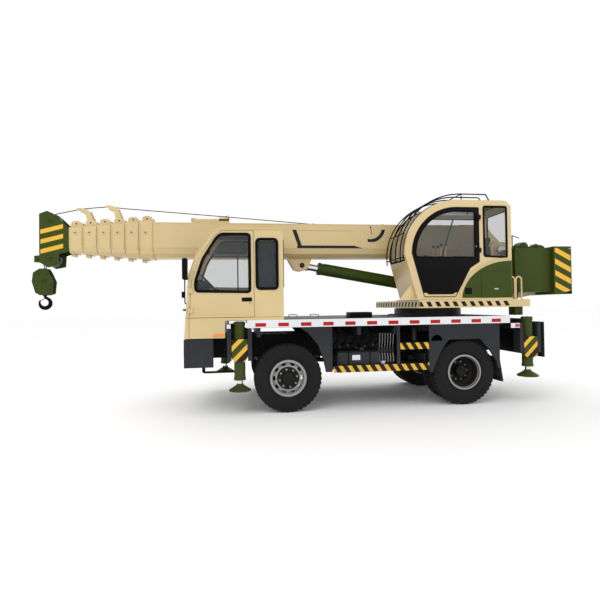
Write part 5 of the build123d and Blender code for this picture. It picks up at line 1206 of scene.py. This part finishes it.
# Turntable
def table_trim():
    """Hoses, slewing bolts and pins of the turntable."""
    piece = Piece("table_trim", "upper", sand, dark_steel, green, rubber, steel, black)
    for k in range(4):
        x = at(3.79 + k * 0.045)
        piece.use(3).hose((x, -0.98, 1.72), (x + 0.02, -0.96, 1.96), (x + 0.05, -0.70, 2.05), 0.011)
    piece.use(1).nut_ring(30, (at(SLEW_X), 0, 1.7098), 0.545, 0.014, 0.012, (0, 0, 1))
    # Sand wedge below the operator's cab and the lips above and below the stripes
    piece.use(0).prism([(at(1.80), 1.7102), (at(2.10), 1.7102), (at(2.10), 1.95), (at(2.02), 1.98)], -1.10,
                       -1.075, 0.004)
    piece.use(0).box((at(2.126), -1.153, 1.584), (at(3.725), -1.149, 1.592), 0.001)
    piece.use(0).box((at(2.126), -1.153, 1.700), (at(3.725), -1.149, 1.709), 0.001)
    # Ribbed green beam end under the tail
    piece.use(2).box((at(3.885), -0.98, 1.44), (at(4.03), -0.80, 1.5828), 0.006)
    for k in range(4):
        piece.box((at(3.90) + k * 0.032, -0.986, 1.45), (at(3.915) + k * 0.032, -0.979, 1.575), 0.002)
    for side in (-1, 1):
        piece.use(4).lathe([(0, 0.0), (0, 0.075), (0.012, 0.085), (0.022, 0.078), (0.022, 0)],
                           (at(PIVOT_X), side * 0.365, PIVOT_Z), (0, side, 0), 28)
        piece.use(1).lathe([(0, 0.0), (0, 0.055), (0.012, 0.06), (0.016, 0.05), (0.016, 0)],
                           (at(LUFF_X), side * 0.120, LUFF_Z), (0, side, 0), 24)
        piece.use(1).nut_ring(6, (at(PIVOT_X), side * 0.352, PIVOT_Z), 0.092, 0.009, 0.008, (0, side, 0))
    piece.use(5).tube([(at(4.312), -0.30, 2.60), (at(4.312), -0.30, 2.90), (at(4.452), -0.30, 2.855)],
                      0.008, 8)
    piece.done()


table_trim()


# Operator's cab
# Outlines of the operator's door
door_window = [(2.0955, 2.40)] + bow(0.705, 0, 90) + [(3.095, 3.155), (3.095, 2.40)]
door_edge = [(2.21, 1.762), (2.0235, 2.435)] + bow(0.765, 0, 90) + [(3.163, 3.215), (3.163, 2.33),
                                                                    (3.0, 2.23), (2.74, 1.762)]


def operator_door_trim():
    """Operator's door: seals, latch, handle and lock."""
    piece = Piece("operator_door_trim", "operator_door", rubber, black, charcoal, steel)
    frame_round(piece, door_window, 0.04, SIDE_Y, 0.013)
    inner = [(2.265, 1.80), (2.71, 1.80), (2.955, 2.24), (2.955, 2.255), (2.105, 2.255), (2.118, 2.22)]
    piece.use(1).prism(rounded(in_frame(inner), 0.03), SIDE_Y - 0.007, SIDE_Y, 0.003)
    piece.use(1).box((at(3.09), SIDE_Y - 0.020, 2.62), (at(3.125), SIDE_Y, 2.74), 0.006)
    piece.use(1).box((at(3.09), SIDE_Y - 0.024, 2.42), (at(3.12), SIDE_Y, 2.50), 0.006)
    piece.use(3).disc((at(3.105), SIDE_Y - 0.003, 2.58), 0.012, 0.005, (0, -1, 0), 16)
    piece.use(0).loop([(at(x), SIDE_Y - 0.002, z) for x, z in rounded(door_edge, 0.02, 2)], 0.006)
    piece.done()


def operator_cab_trim():
    """Trim of the operator's cab."""
    piece = Piece("operator_cab_trim", "upper", green, sand, rubber, black, steel, white, visor)
    # Green quarter panel with seams, latch, vent and crease
    panel_foot = 1.735
    reach, rise = 0.87, 0.645  # of the panel's arched edge
    foot_x = ARCH[0] - reach * math.sqrt(1 - ((panel_foot - ARCH[1]) / rise) ** 2)
    arc = arc_points(ARCH, reach, rise, range(3, 91, 6))
    panel = [(foot_x, panel_foot)] + [(x, z) for x, z in arc if z > panel_foot]
    panel += [(3.728, 2.345), (3.728, panel_foot)]
    piece.prism(in_frame(panel), SIDE_Y - 0.005, SIDE_Y, 0.0015)
    piece.use(3).box((at(3.184), SIDE_Y - 0.0065, 1.74), (at(3.188), SIDE_Y - 0.0045, 2.21))
    piece.use(0).hose((at(3.22), SIDE_Y - 0.004, 2.150), (at(3.42), SIDE_Y - 0.004, 2.172),
                      (at(3.68), SIDE_Y - 0.004, 2.185), 0.005, 6)
    piece.use(0).hose((at(2.98), SIDE_Y - 0.004, 2.02), (at(3.08), SIDE_Y - 0.004, 2.10),
                      (at(3.17), SIDE_Y - 0.004, 2.14), 0.005, 6)
    piece.use(3).box((at(2.90), SIDE_Y - 0.009, 1.80), (at(3.02), SIDE_Y - 0.004, 1.90), 0.003)
    piece.use(4).prism(rounded([(at(3.405), 1.868), (at(3.485), 1.868), (at(3.485), 1.892),
                                (at(3.405), 1.892)], 0.010), SIDE_Y - 0.012, SIDE_Y - 0.004, 0.003)
    # Sand arch over the green panel
    outer = arc_points(ARCH, 0.905, 0.685, range(6, 91, 6))
    piece.use(1).tube([(at(x), SIDE_Y - 0.002, z) for x, z in outer], 0.014, 8)
    piece.tube([(at(2.01), SIDE_Y - 0.002, 1.728), (at(3.15), SIDE_Y - 0.002, 1.728)], 0.011, 8)
    # Window rubbers
    rear_win = [(3.25, 2.42), (3.65, 2.40), (3.65, 3.235), (3.25, 3.235)]
    frame_round(piece.use(2), rear_win, 0.03, SIDE_Y, 0.017)
    right_win = [(2.20, 2.45), (3.60, 2.45), (3.60, 3.18), (2.56, 3.18), (2.28, 2.96)]
    frame_round(piece, right_win, 0.04, -0.365, 0.016)
    back = rounded([(-1.07, 2.45), (-0.445, 2.45), (-0.445, 3.20), (-1.07, 3.20)], 0.05, 5)
    piece.loop([(at(3.733), y, z) for y, z in back], 0.016)
    piece.use(3).tube([(at(3.101), -0.40, 3.16), (at(2.861), -0.40, 2.46)], 0.012, 6)
    # Front screen's seal, up both pillars and along the sill
    screen = [(1.919, 2.365), (1.897, 2.44)] + bow(0.883, 3, 87, 7)
    for y in (-1.072, -0.438):
        piece.use(2).tube([(at(x), y, z) for x, z in screen], 0.013, 6)
    piece.tube([(at(screen[0][0]), -1.072, screen[0][1]), (at(screen[0][0]), -0.438, screen[0][1])], 0.013, 6)
    # Roof rim
    piece.use(1).tube([(at(2.75), SIDE_Y + 0.012, 3.333), (at(3.62), SIDE_Y + 0.012, 3.333)], 0.010, 8)
    piece.done()


def operator_inner_trim():
    """Inside the operator's cab: overhead unit, headlining, levers, side boxes, display and pedals."""
    piece = Piece("operator_inner_trim", "upper", white, black, lever_tan, visor, dark_steel, seat_cloth)
    piece.box((at(2.60), -0.98, 3.125), (at(3.30), -0.90, 3.185), 0.015)
    piece.use(1).disc((at(3.06), -0.982, 3.155), 0.016, 0.006, (0, -1, 0), 16)
    piece.use(3).box((at(2.75), -1.08, 3.275), (at(3.62), -0.44, 3.292), 0.004)
    for x, y in ((2.60, -0.62), (2.66, -0.66), (2.63, -0.86), (2.69, -0.90)):
        piece.use(2).tube([(at(x), y, 2.20), (at(x) + 0.01, y, 2.52), (at(x) + 0.02, y, 2.62)], 0.010, 8)
        piece.use(1).lathe([(0, 0), (0.004, 0.016), (0.03, 0.020), (0.05, 0.012), (0.054, 0)],
                           (at(x) + 0.02, y, 2.61), (0, 0, 1), 12)
    piece.use(1).box((at(2.52), -1.0, 2.05), (at(2.80), -0.86, 2.22), 0.015)
    piece.box((at(2.52), -0.66, 2.05), (at(2.80), -0.52, 2.22), 0.015)
    piece.use(4).box((at(2.30), -0.92, 2.30), (at(2.38), -0.70, 2.46), 0.012)
    for y in (-0.80, -0.70):
        piece.use(1).box((at(2.35), y - 0.03, 1.80), (at(2.47), y + 0.03, 1.83), 0.006)
    piece.done()


def operator_seat_base():
    """Foot of the operator's seat, and the front console."""
    piece = Piece("operator_seat_base", "upper", black, dark_steel, visor)
    piece.box((at(3.0), -0.955, 1.7505), (at(3.37), -0.565, 1.86), 0.012)
    piece.use(1).box((at(3.03), -0.90, 1.86), (at(3.34), -0.62, 2.05), 0.02)
    piece.use(0).prism(rounded([(at(2.255), 1.752), (at(2.395), 1.752), (at(2.395), 2.19), (at(2.36), 2.276),
                                (at(2.255), 2.276)], 0.03), -0.956, -0.564, 0.006)
    piece.use(2).box((at(2.268), -0.94, 2.268), (at(2.355), -0.58, 2.279), 0.003)
    piece.done()


operator_door_trim()
operator_cab_trim()
operator_inner_trim()
operator_seat_base()

seat = cushion("operator_cushion", "upper", (at(2.905), -0.99, 2.052), (at(3.40), -0.53, 2.150), 0.012,
               seat_cloth)
cushion("operator_backrest", "upper", (at(3.335), -0.98, 2.125), (at(3.42), -0.54, 2.640), 0.0, seat_cloth,
        tilt=0.205, pivot=(at(3.3725), -0.76, 2.12))
cushion("operator_headrest", "upper", (at(3.350), -0.88, 2.650), (at(3.415), -0.64, 2.790), 0.0, seat_cloth,
        tilt=0.205, pivot=(at(3.3725), -0.76, 2.12))
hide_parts("operator_seat")

# The guard bars follow the cab's bow
bar_curve = arc_through((1.846, 2.330), (1.905, 2.800), (2.150, 3.160), 12)
bar_curve += arc_through((2.150, 3.160), (2.470, 3.365), (2.900, 3.450), 10)[1:]
bar_curve += [(3.315, 3.450), (3.333, 3.445), (3.390, 3.345)]


def guard_bar_tubes():
    """Guard bars over the cab's front glass and roof."""
    piece = Piece("guard_bar_tubes", "upper", black)
    bar_y = (-1.085, -0.867, -0.648, -0.430)
    rung = 0.0088
    for y in bar_y:
        piece.tube([(at(x), y, z) for x, z in bar_curve], 0.0105, 8)
    for x, z in ((1.8445, 2.400), (1.905, 2.800), (2.150, 3.160), (2.900, 3.450)):
        piece.tube([(at(x), bar_y[0], z), (at(x), bar_y[-1], z)], rung, 8)
    for y in (bar_y[0], bar_y[-1]):
        piece.tube([(at(1.8445), y, 2.400), (at(1.905), y, 2.400)], rung, 8)
        piece.tube([(at(2.150), y, 3.160), (at(2.188), y, 3.120)], rung, 8)
        piece.tube([(at(2.900), y, 3.450), (at(2.900), y, 3.338)], rung, 8)
    piece.done(replaces=["guard_bars"])


guard_bar_tubes()


# Rear housings and winches
def rear_trim():
    """Rear housings: edge strips, side plates and the ends of the winch motors."""
    piece = Piece("rear_trim", "upper", green, dark_steel, rope, black, rubber, sand)
    for side in (-1, 1):
        y = side * 0.75
        piece.use(0).box((at(4.655), y - side * 0.001, 1.836), (at(4.685), y + side * 0.006, 2.614), 0.002)
        piece.use(0).prism([(at(4.09), 1.86), (at(4.63), 1.86), (at(4.63), 2.56), (at(4.13), 2.59)],
                           y - side * 0.001, y + side * 0.003, 0.001)
        piece.use(1).box((at(4.30), y, 1.835), (at(4.34), y + side * 0.012, 1.87), 0.003)
        # Round winch motor housings that show over the sides
        for x, z, radius in ((4.38, 2.66, 0.085), (4.62, 2.66, 0.055)):
            piece.use(0).lathe([(0, 0), (0, radius - 0.01), (0.01, radius), (0.12, radius),
                                (0.135, radius - 0.02), (0.135, 0)], (at(x), side * 0.42, z), (0, side, 0),
                               28)
            piece.use(1).nut((at(x), side * 0.555, z), 0.018, 0.010, (0, side, 0))
    # Rope on the second winch
    for k in range(17):
        y = -0.205 + k * ROPE_PITCH
        piece.use(2).lathe([(-0.0125, 0.096), (-0.008, 0.106), (0, 0.109), (0.008, 0.106), (0.0125, 0.096)],
                           (at(SECOND_WINCH_X), y, SECOND_WINCH_Z), (0, 1, 0), 40)
    for k in range(5):
        piece.use(4).hose((at(4.10), -0.34 + k * 0.035, 1.76), (at(4.25), -0.30 + k * 0.03, 1.90),
                          (at(4.45), -0.26 + k * 0.03, 2.10), 0.012)
    piece.use(0).box((at(4.35), -0.72, 2.6155), (at(4.42), -0.66, 2.64), 0.004)
    piece.done()


def main_winch_rope():
    """Rope and bolts of the main winch."""
    piece = Piece("main_winch_rope", "hoist_drum", rope, dark_steel)
    for k in range(18):
        y = -0.217 + k * ROPE_PITCH
        piece.lathe([(-0.0125, 0.131), (-0.008, 0.142), (0, 0.145), (0.008, 0.142), (0.0125, 0.131)],
                    (at(WINCH_X), y, WINCH_Z), (0, 1, 0), 44)
    for side in (-1, 1):
        piece.use(1).nut_ring(8, (at(WINCH_X), side * 0.2502, WINCH_Z), 0.15, 0.011, 0.010, (0, side, 0))
    piece.done()


def weight_trim():
    """Counterweight's lifting points and tail corners."""
    piece = Piece("weight_trim", "upper", green, dark_steel, black)
    for side in (-1, 1):
        piece.use(1).lathe(cylinder(0.03, 0.016), (at(4.91), side * 0.6, 2.6295),
                           (0, 0, 1), 6)
        piece.use(2).prism([(at(4.90), 1.795), (at(5.075), 1.795), (at(5.075), 1.86)], side * 0.830,
                           side * 0.833)
    piece.done()


rear_trim()
main_winch_rope()
weight_trim()


# Boom
half_width = [BOOM_HALF_WIDTH - STAGE_STEP * n for n in range(STAGES)]
top_z = [BOOM_TOP - STAGE_STEP * n for n in range(STAGES)]
collar_x = [at(COLLAR_FRONT - COLLAR_STEP * n) for n in range(STAGES)]
stage_body = ["boom"] + [f"stage_{n}" for n in range(1, STAGES)]


def collar_trim(n):
    """Bolts, seams, slide pads and front bar of one section's collar."""
    piece = Piece(f"collar_trim_{n}", stage_body[n], sand, dark_steel, black, brass)
    x = collar_x[n]
    flank = half_width[n] + 0.014
    soffit, ridge = 2.60 + 0.018 * n, 3.06 - STAGE_STEP * n
    for side in (-1, 1):
        piece.use(1).nut((x + 0.10, side * (flank + 0.0095), 2.915), 0.012, 0.007, (0, side, 0))
        piece.use(1).nut((x + 0.10, side * 0.1122, top_z[n] + 0.085), 0.013, 0.008, (0, side, 0))
        for seam in (0.004, 0.192):
            piece.use(0).box((x + seam, side * flank, soffit),
                             (x + seam + 0.014, side * (flank + 0.006), ridge), 0.002)
        piece.use(2).box((x - 0.004, side * (half_width[n] - 0.045), 2.62 + 0.018 * n),
                         (x + 0.004, side * (half_width[n] - 0.009), 2.70), 0.001)
    piece.use(1).tube([(x + 0.17, -0.085, top_z[n] + 0.05), (x + 0.17, 0.085, top_z[n] + 0.05)], 0.018, 12)
    for k in (-1, 1):
        piece.use(3).lathe(cylinder(0.010, 0.014),
                           (x + 0.10, k * 0.05, 2.49 + STAGE_STEP * n - 0.014), (0, 0, -1), 8)
    piece.done()


def section_outline(n):
    """Convex outline of a boom section in Y and Z, from the node's points behind its collar."""
    farthest = {}
    points = {(round(v.co.y, 4), round(v.co.z, 4)) for v in nodes[f"boom_section_{n}"].data.vertices
              if v.co.x > collar_x[n] + 0.24}
    for y, z in points:
        key = round(math.degrees(math.atan2(z - BOOM_Z, y)) / 7.5)
        reach = math.hypot(y, z - BOOM_Z)
        if key not in farthest or reach > farthest[key][0]:
            farthest[key] = (reach, (y, z))
    outline = [farthest[key][1] for key in sorted(farthest)]
    hull = []
    for y, z in sorted(outline) + sorted(outline, reverse=True):
        while len(hull) > 1:
            (y0, z0), (y1, z1) = hull[-2:]
            if (y1 - y0) * (z - z0) - (z1 - z0) * (y - y0) > 1e-9:
                break
            hull.pop()
        if not hull or (y, z) != hull[-1]:
            hull.append((y, z))
    return hull


def wiper_and_joint_shade(n):
    """Rubber seal round a section, at the mouth of the one before; the dark ring is partly that real seal and
    partly painted shade for the shadow line at the joint.
    """
    piece = Piece(f"wiper_{n}", stage_body[n - 1], rubber)
    outside = 1.004
    edge = [(collar_x[n - 1] + 0.004, y * outside, BOOM_Z + (z - BOOM_Z) * outside)
            for y, z in section_outline(n)]
    piece.tube(edge, 0.008, 6, caps=False)
    piece.done()


for n in range(STAGES):
    collar_trim(n)
# Dark rubber rings at each collar's mouth: partly real seals, partly painted shade for the shadow lines at
# the joints
for n in range(1, STAGES):
    wiper_and_joint_shade(n)


def boom_trim():
    """Boom base: pointer, seams, rope guides and hose."""
    piece = Piece("boom_trim", "boom", sand, black, dark_steel, visor, steel, rubber)
    # Angle indicator's pointer on the left side
    piece.use(2).tube([(at(1.611), -0.2525, 3.045), (at(1.627), -0.2525, 2.901)], 0.004, 6)
    piece.disc((at(1.611), -0.2505, 3.040), 0.014, 0.006, (0, -1, 0), 16)
    # Weld seam lines along the flank, top guides, rope guide housing
    for side in (-1, 1):
        piece.use(0).tube([(at(-2.15), side * 0.2505, 2.655), (at(3.3), side * 0.2505, 2.655)], 0.0035, 6)
        piece.use(0).tube([(at(-2.15), side * 0.2502, 3.075), (at(3.7), side * 0.2502, 3.075)], 0.004, 6)
        piece.use(2).lathe(cylinder(0.078, 0.006),
                           (at(PIVOT_X), side * 0.295, PIVOT_Z), (0, side, 0), 24)
    piece.use(0).box((at(-1.552), -0.113, 3.140), (at(-0.899), 0.113, 3.153), 0.003)
    for side in (-1, 1):
        piece.box((at(-1.549), side * 0.098, 3.150), (at(-0.902), side * 0.111, 3.186), 0.003)
        piece.box((at(-1.08), side * 0.098, 3.150), (at(-0.902), side * 0.111, 3.215), 0.003)
    piece.box((at(-0.90), 0.02, 3.088), (at(0.33), 0.11, 3.113), 0.003)
    piece.box((at(-1.549), -0.111, 3.1), (at(-1.53), 0.111, 3.20), 0.003)
    piece.box((at(-0.925), -0.111, 3.1), (at(-0.902), 0.111, 3.257), 0.003)
    piece.use(2).tube([(at(-0.95), -0.10, 3.21), (at(-0.95), 0.10, 3.21)], 0.03, 16)
    piece.tube([(at(-1.50), -0.10, 3.18), (at(-1.50), 0.10, 3.18)], 0.02, 16)
    for x in (0.6, 1.9, 3.0, 3.69):
        piece.use(2).tube([(at(x), -0.06, 3.10), (at(x), 0.06, 3.10)], 0.018, 12)
        for side in (-1, 1):
            piece.use(0).box((at(x) - 0.03, side * 0.055, 3.088), (at(x) + 0.03, side * 0.065, 3.135), 0.003)
    # Caps of the pin at the cylinder's eye
    for side in (-1, 1):
        piece.use(2).lathe(cap(0.045, 0.010, 0.035, 0.014),
                           (at(EYE_X), side * 0.105, EYE_Z), (0, side, 0), 20)
    # Hose along the right side
    piece.use(5).tube([(at(3.4), 0.262, 2.80), (at(2.0), 0.262, 2.82), (at(0.0), 0.262, 2.80),
                       (at(-2.1), 0.262, 2.82)], 0.010, 8)
    for x in (3.2, 2.2, 1.2, 0.2, -0.8, -1.8):
        piece.use(2).box((at(x), 0.25, 2.79), (at(x) + 0.03, 0.276, 2.84), 0.003)
    piece.done()


def head_trim():
    """Head: sheave grooves, pins, nose plate."""
    piece = Piece("head_trim", "stage_5", green, dark_steel, steel, black)
    for side in (-1, 1):
        for x, z, radius in ((*TOP_SHEAVE, 0.034), (*FALL_SHEAVE, 0.042), (-4.02, 2.475, 0.024)):
            piece.use(0).lathe([(0, 0), (0, radius), (0.012, radius), (0.016, radius * 0.8), (0.016, 0)],
                               (at(x), side * 0.17, z), (0, side, 0), 24)
            piece.use(1).nut((at(x), side * 0.185, z), radius * 0.4, 0.008, (0, side, 0))
        piece.use(0).tube([(at(-3.985), side * 0.168, 2.56), (at(-3.985), side * 0.168, 3.21),
                           (at(-3.868), side * 0.168, 3.262), (at(-3.785), side * 0.168, 3.225),
                           (at(-3.575), side * 0.168, 3.02)], 0.007, 6)
    piece.use(3).lathe([(-0.024, 0.1305), (-0.010, 0.118), (0.010, 0.118), (0.024, 0.1305)],
                       (at(TOP_SHEAVE[0]), 0, TOP_SHEAVE[1]), (0, 1, 0), 48)
    piece.use(1).tube([(at(-4.02), -0.16, 2.475), (at(-4.02), 0.16, 2.475)], 0.022, 12)
    piece.use(3).tube([(at(-3.70), -0.05, 2.585), (at(-3.60), -0.05, 2.545), (at(-3.53), -0.05, 2.60)],
                      0.010, 8)
    piece.done()


def sheave_trim():
    """Grooves of the two sheaves that carry the falls."""
    piece = Piece("sheave_trim", "falls", green, dark_steel, steel)
    for y in (-0.036, 0.036):
        piece.use(1).lathe([(-0.014, 0.1305), (-0.006, 0.122), (0.006, 0.122), (0.014, 0.1305)],
                           (at(FALL_SHEAVE[0]), y, FALL_SHEAVE[1]), (0, 1, 0), 48)
    piece.done()


def block_trim():
    """Hook block: sheave pin, plate edges and bolts."""
    piece = Piece("block_trim", "block", green, dark_steel, steel, black)
    for side in (-1, 1):
        piece.use(0).lathe(cap(0.045, 0.008, 0.03, 0.012),
                           (at(BLOCK_X), side * 0.078, BLOCK_Z), (0, side, 0), 24)
        piece.use(1).nut((at(BLOCK_X), side * 0.090, BLOCK_Z), 0.020, 0.010, (0, side, 0))
        block_edge = [(-4.03, 2.325), (-3.927, 2.325), (-3.889, 2.267), (-3.82, 2.11), (-3.84, 1.914),
                      (-3.916, 1.89), (-4.023, 1.89), (-4.09, 1.928), (-4.144, 2.11), (-4.125, 2.262)]
        piece.use(0).loop([(at(x), side * 0.0785, z) for x, z in block_edge], 0.004)
        for x, z in ((-4.05, 2.24), (-3.92, 2.24), (-4.08, 1.99), (-3.87, 1.97)):
            piece.use(1).nut((at(x), side * 0.078, z), 0.011, 0.008, (0, side, 0))
    piece.use(3).lathe([(0, 0.0), (0, 0.034), (0.012, 0.038), (0.012, 0.0)], (at(BLOCK_X), 0, 1.873),
                       (0, 0, 1), 24)
    piece.done()


def hook_body():
    """Hook: tapered bowl drawn along its curve, with a safety latch."""
    piece = Piece("hook_body", "hook", black, dark_steel)
    x, z, bowl = at(BLOCK_X), 1.757, 0.086
    points = [(x, 0, 1.868), (x + 0.006, 0, 1.850)]
    radii = [0.0235, 0.025]
    for i in range(25):
        angle = math.radians(62 - i * 11.4)
        points.append((x + bowl * math.cos(angle) * (1 if i > 2 else 0.86 + 0.05 * i), 0,
                       z + bowl * math.sin(angle)))
        share = i / 24
        swell = 0.0110 * math.sin(math.pi * min(1, share * 1.15))
        taper = 0.012 * max(0, share - 0.72) / 0.28
        radii.append(0.0235 + swell - taper)
    piece.tube(points, radii, 14)
    for vert in piece.bm.verts:
        vert.co.y *= 0.82
    piece.use(1).tube([(x - 0.002, 0, 1.834), (x - 0.030, 0, 1.815), (x - 0.068, 0, 1.795)], 0.006, 8)
    piece.use(1).lathe([(0, 0), (0, 0.022), (0.110, 0.022), (0.115, 0)], (x, 0, 1.866), (0, 0, 1), 20)
    piece.done(replaces=["hook"])


boom_trim()
head_trim()
sheave_trim()
block_trim()
hook_body()


# Luffing cylinder
base = Vector((at(LUFF_X), 0, LUFF_Z))
eye = Vector((at(EYE_X), 0, EYE_Z))
along = (eye - base).normalized()
length = (eye - base).length


def luff_barrel_trim():
    """Head, band and pipes of the luffing barrel."""
    piece = Piece("luff_barrel_trim", "luff_barrel", green, dark_steel, rubber, brass)
    front = length - 0.300
    piece.lathe([(front - 0.060, 0.1055), (front - 0.055, 0.114), (front - 0.005, 0.114), (front, 0.108),
                 (front, 0.0665)], base, along, 40)
    piece.lathe([(0.150, 0.1055), (0.152, 0.110), (0.20, 0.110), (0.202, 0.1055)], base, along, 40)
    for k in range(2):
        start = base + along * 0.30 + Vector((0, 0.06 - 0.12 * k, 0.095))
        end_pt = base + along * (length - 0.42) + Vector((0, 0.06 - 0.12 * k, 0.095))
        piece.use(0).tube([start, start.lerp(end_pt, 0.5), end_pt], 0.011, 8)
    piece.done()


def luff_rod_trim():
    """Collar at the end of the luffing rod."""
    piece = Piece("luff_rod_trim", "luff_rod", dark_steel, green)
    piece.use(1).lathe([(length - 0.125, 0.0625), (length - 0.120, 0.072), (length - 0.07, 0.072),
                        (length - 0.06, 0.066)], base, along, 32)
    piece.done()


luff_barrel_trim()
luff_rod_trim()


# Ropes
stations = [(-0.95, 3.244), (-2.70, 3.366), (-2.93, 3.392), (-3.16, 3.372), (-3.39, 3.345), (-3.805, 3.252)]
ends = [Vector((at(x), 0.0, z)) for x, z in stations]
for k, (a, b) in enumerate(zip(ends, ends[1:])):
    obj = straight_rope(f"hoist_rope_{k}", stage_body[k], a, b, 8, HOIST_ROPE)
    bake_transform(obj)


def hoist_rope_top():
    """Rope over the guides on the boom's top."""
    piece = Piece("hoist_rope_top", "boom", rope)
    piece.tube([(at(-0.95), 0, 3.244), (at(0.6), 0, 3.128), (at(3.0), 0, 3.130), (at(3.70), 0, 3.136)],
               HOIST_ROPE, 8)
    piece.done()


hoist_rope_top()
a, b = Vector((at(3.70), 0, 3.136)), Vector((at(4.44), 0, 2.705))
obj = straight_rope("hoist_rope_winch", "boom", a, b, 12, HOIST_ROPE)
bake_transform(obj)
for y in (-0.036, 0.036):
    a, b = Vector((at(FALL_X), y, FALL_SHEAVE[1])), Vector((at(FALL_X), y, 2.20))
    obj = straight_rope("fall_rope_left" if y < 0 else "fall_rope_right", "falls", a, b, 8, FALL_ROPE)
    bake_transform(obj)


# Floor, light and camera
def floor_material():
    """Nearly white floor with a faint grain."""
    look = bpy.data.materials.new("pale_floor")
    look.use_nodes = True
    tree = look.node_tree
    surface = tree.nodes["Principled BSDF"]
    grain = tree.nodes.new("ShaderNodeTexNoise")
    grain.inputs["Scale"].default_value = 3.0
    darkest, lightest = 0.962, 0.975
    tint = mix_colour(tree, grain.outputs[0], (darkest, darkest, darkest, 1),
                      (lightest, lightest, lightest, 1))
    tree.links.new(tint, surface.inputs["Base Color"])
    surface.inputs["Roughness"].default_value = 0.9
    return look


def lay_floor():
    """Flat floor just below the tyres."""
    reach, z = 160, -0.0005
    corners = [(-reach, -reach, z), (reach, -reach, z), (reach, reach, z), (-reach, reach, z)]
    mesh = bpy.data.meshes.new("floor")
    mesh.from_pydata(corners, [], [(0, 1, 2, 3)])
    new_object("floor", mesh, floor_material())


def light_world():
    """White surroundings: one strength lights the crane, the other is seen behind it."""
    world = bpy.data.worlds.new("studio")
    bpy.context.scene.world = world
    world.use_nodes = True
    tree = world.node_tree
    tree.nodes.clear()
    skies = []
    for strength in (1.02, 1.0):
        sky = tree.nodes.new("ShaderNodeBackground")
        sky.inputs["Color"].default_value = (1, 1, 1, 1)
        sky.inputs["Strength"].default_value = strength
        skies.append(sky)
    path = tree.nodes.new("ShaderNodeLightPath")
    seen = math_node(tree, "MAXIMUM", path.outputs["Is Camera Ray"], path.outputs["Is Transmission Ray"])
    both = tree.nodes.new("ShaderNodeMixShader")
    end = tree.nodes.new("ShaderNodeOutputWorld")
    tree.links.new(seen, both.inputs[0])
    tree.links.new(skies[0].outputs[0], both.inputs[1])
    tree.links.new(skies[1].outputs[0], both.inputs[2])
    tree.links.new(both.outputs[0], end.inputs[0])


def lamp(name, place, target, size, power):
    """Rectangular lamp that points at a target."""
    data = bpy.data.lights.new(name, "AREA")
    data.shape = "RECTANGLE"
    data.size, data.size_y = size
    data.energy = power
    obj = new_object(name, data)
    obj.location = place
    obj.rotation_mode = "QUATERNION"
    obj.rotation_quaternion = (Vector(target) - Vector(place)).to_track_quat("-Z", "Y")


def level(vector):
    """Turn a direction of the solved camera onto level ground."""
    rake = math.atan(0.0262)
    return Vector((vector.x * math.cos(rake) + vector.z * math.sin(rake), vector.y,
                   -vector.x * math.sin(rake) + vector.z * math.cos(rake)))


def aim_camera():
    """Camera at the place and with the lens that were solved from the photograph."""
    data = bpy.data.cameras.new("camera")
    data.sensor_width = 36
    data.lens = 26.226
    data.clip_end = 200
    camera = new_object("camera", data)
    bpy.context.scene.camera = camera
    yaw, pitch, roll = math.radians(7.55), math.radians(1.01), math.radians(0.67)
    forward = Vector((math.sin(yaw) * math.cos(pitch), math.cos(yaw) * math.cos(pitch), math.sin(pitch)))
    right = Vector((math.cos(yaw), -math.sin(yaw), 0))
    up = right.cross(forward)
    rolled_right = math.cos(roll) * right + math.sin(roll) * up
    rolled_up = -math.sin(roll) * right + math.cos(roll) * up
    turn = Matrix((level(rolled_right), level(rolled_up), -level(forward))).transposed()
    camera.matrix_world = Matrix.Translation((-1.163, -7.843, 1.641)) @ turn.to_4x4()


lay_floor()
light_world()
lamp("key", (-5.5, -9.0, 8.5), (0, 0, 1.6), (7, 5), 250)
lamp("fill", (7.5, -8.0, 4.5), (0.5, 0, 1.5), (6, 5), 80)
lamp("back", (2.0, 8.0, 9.0), (0, 0, 1.8), (9, 5), 170)
aim_camera()
bpy.context.scene.view_settings.view_transform = "Standard"
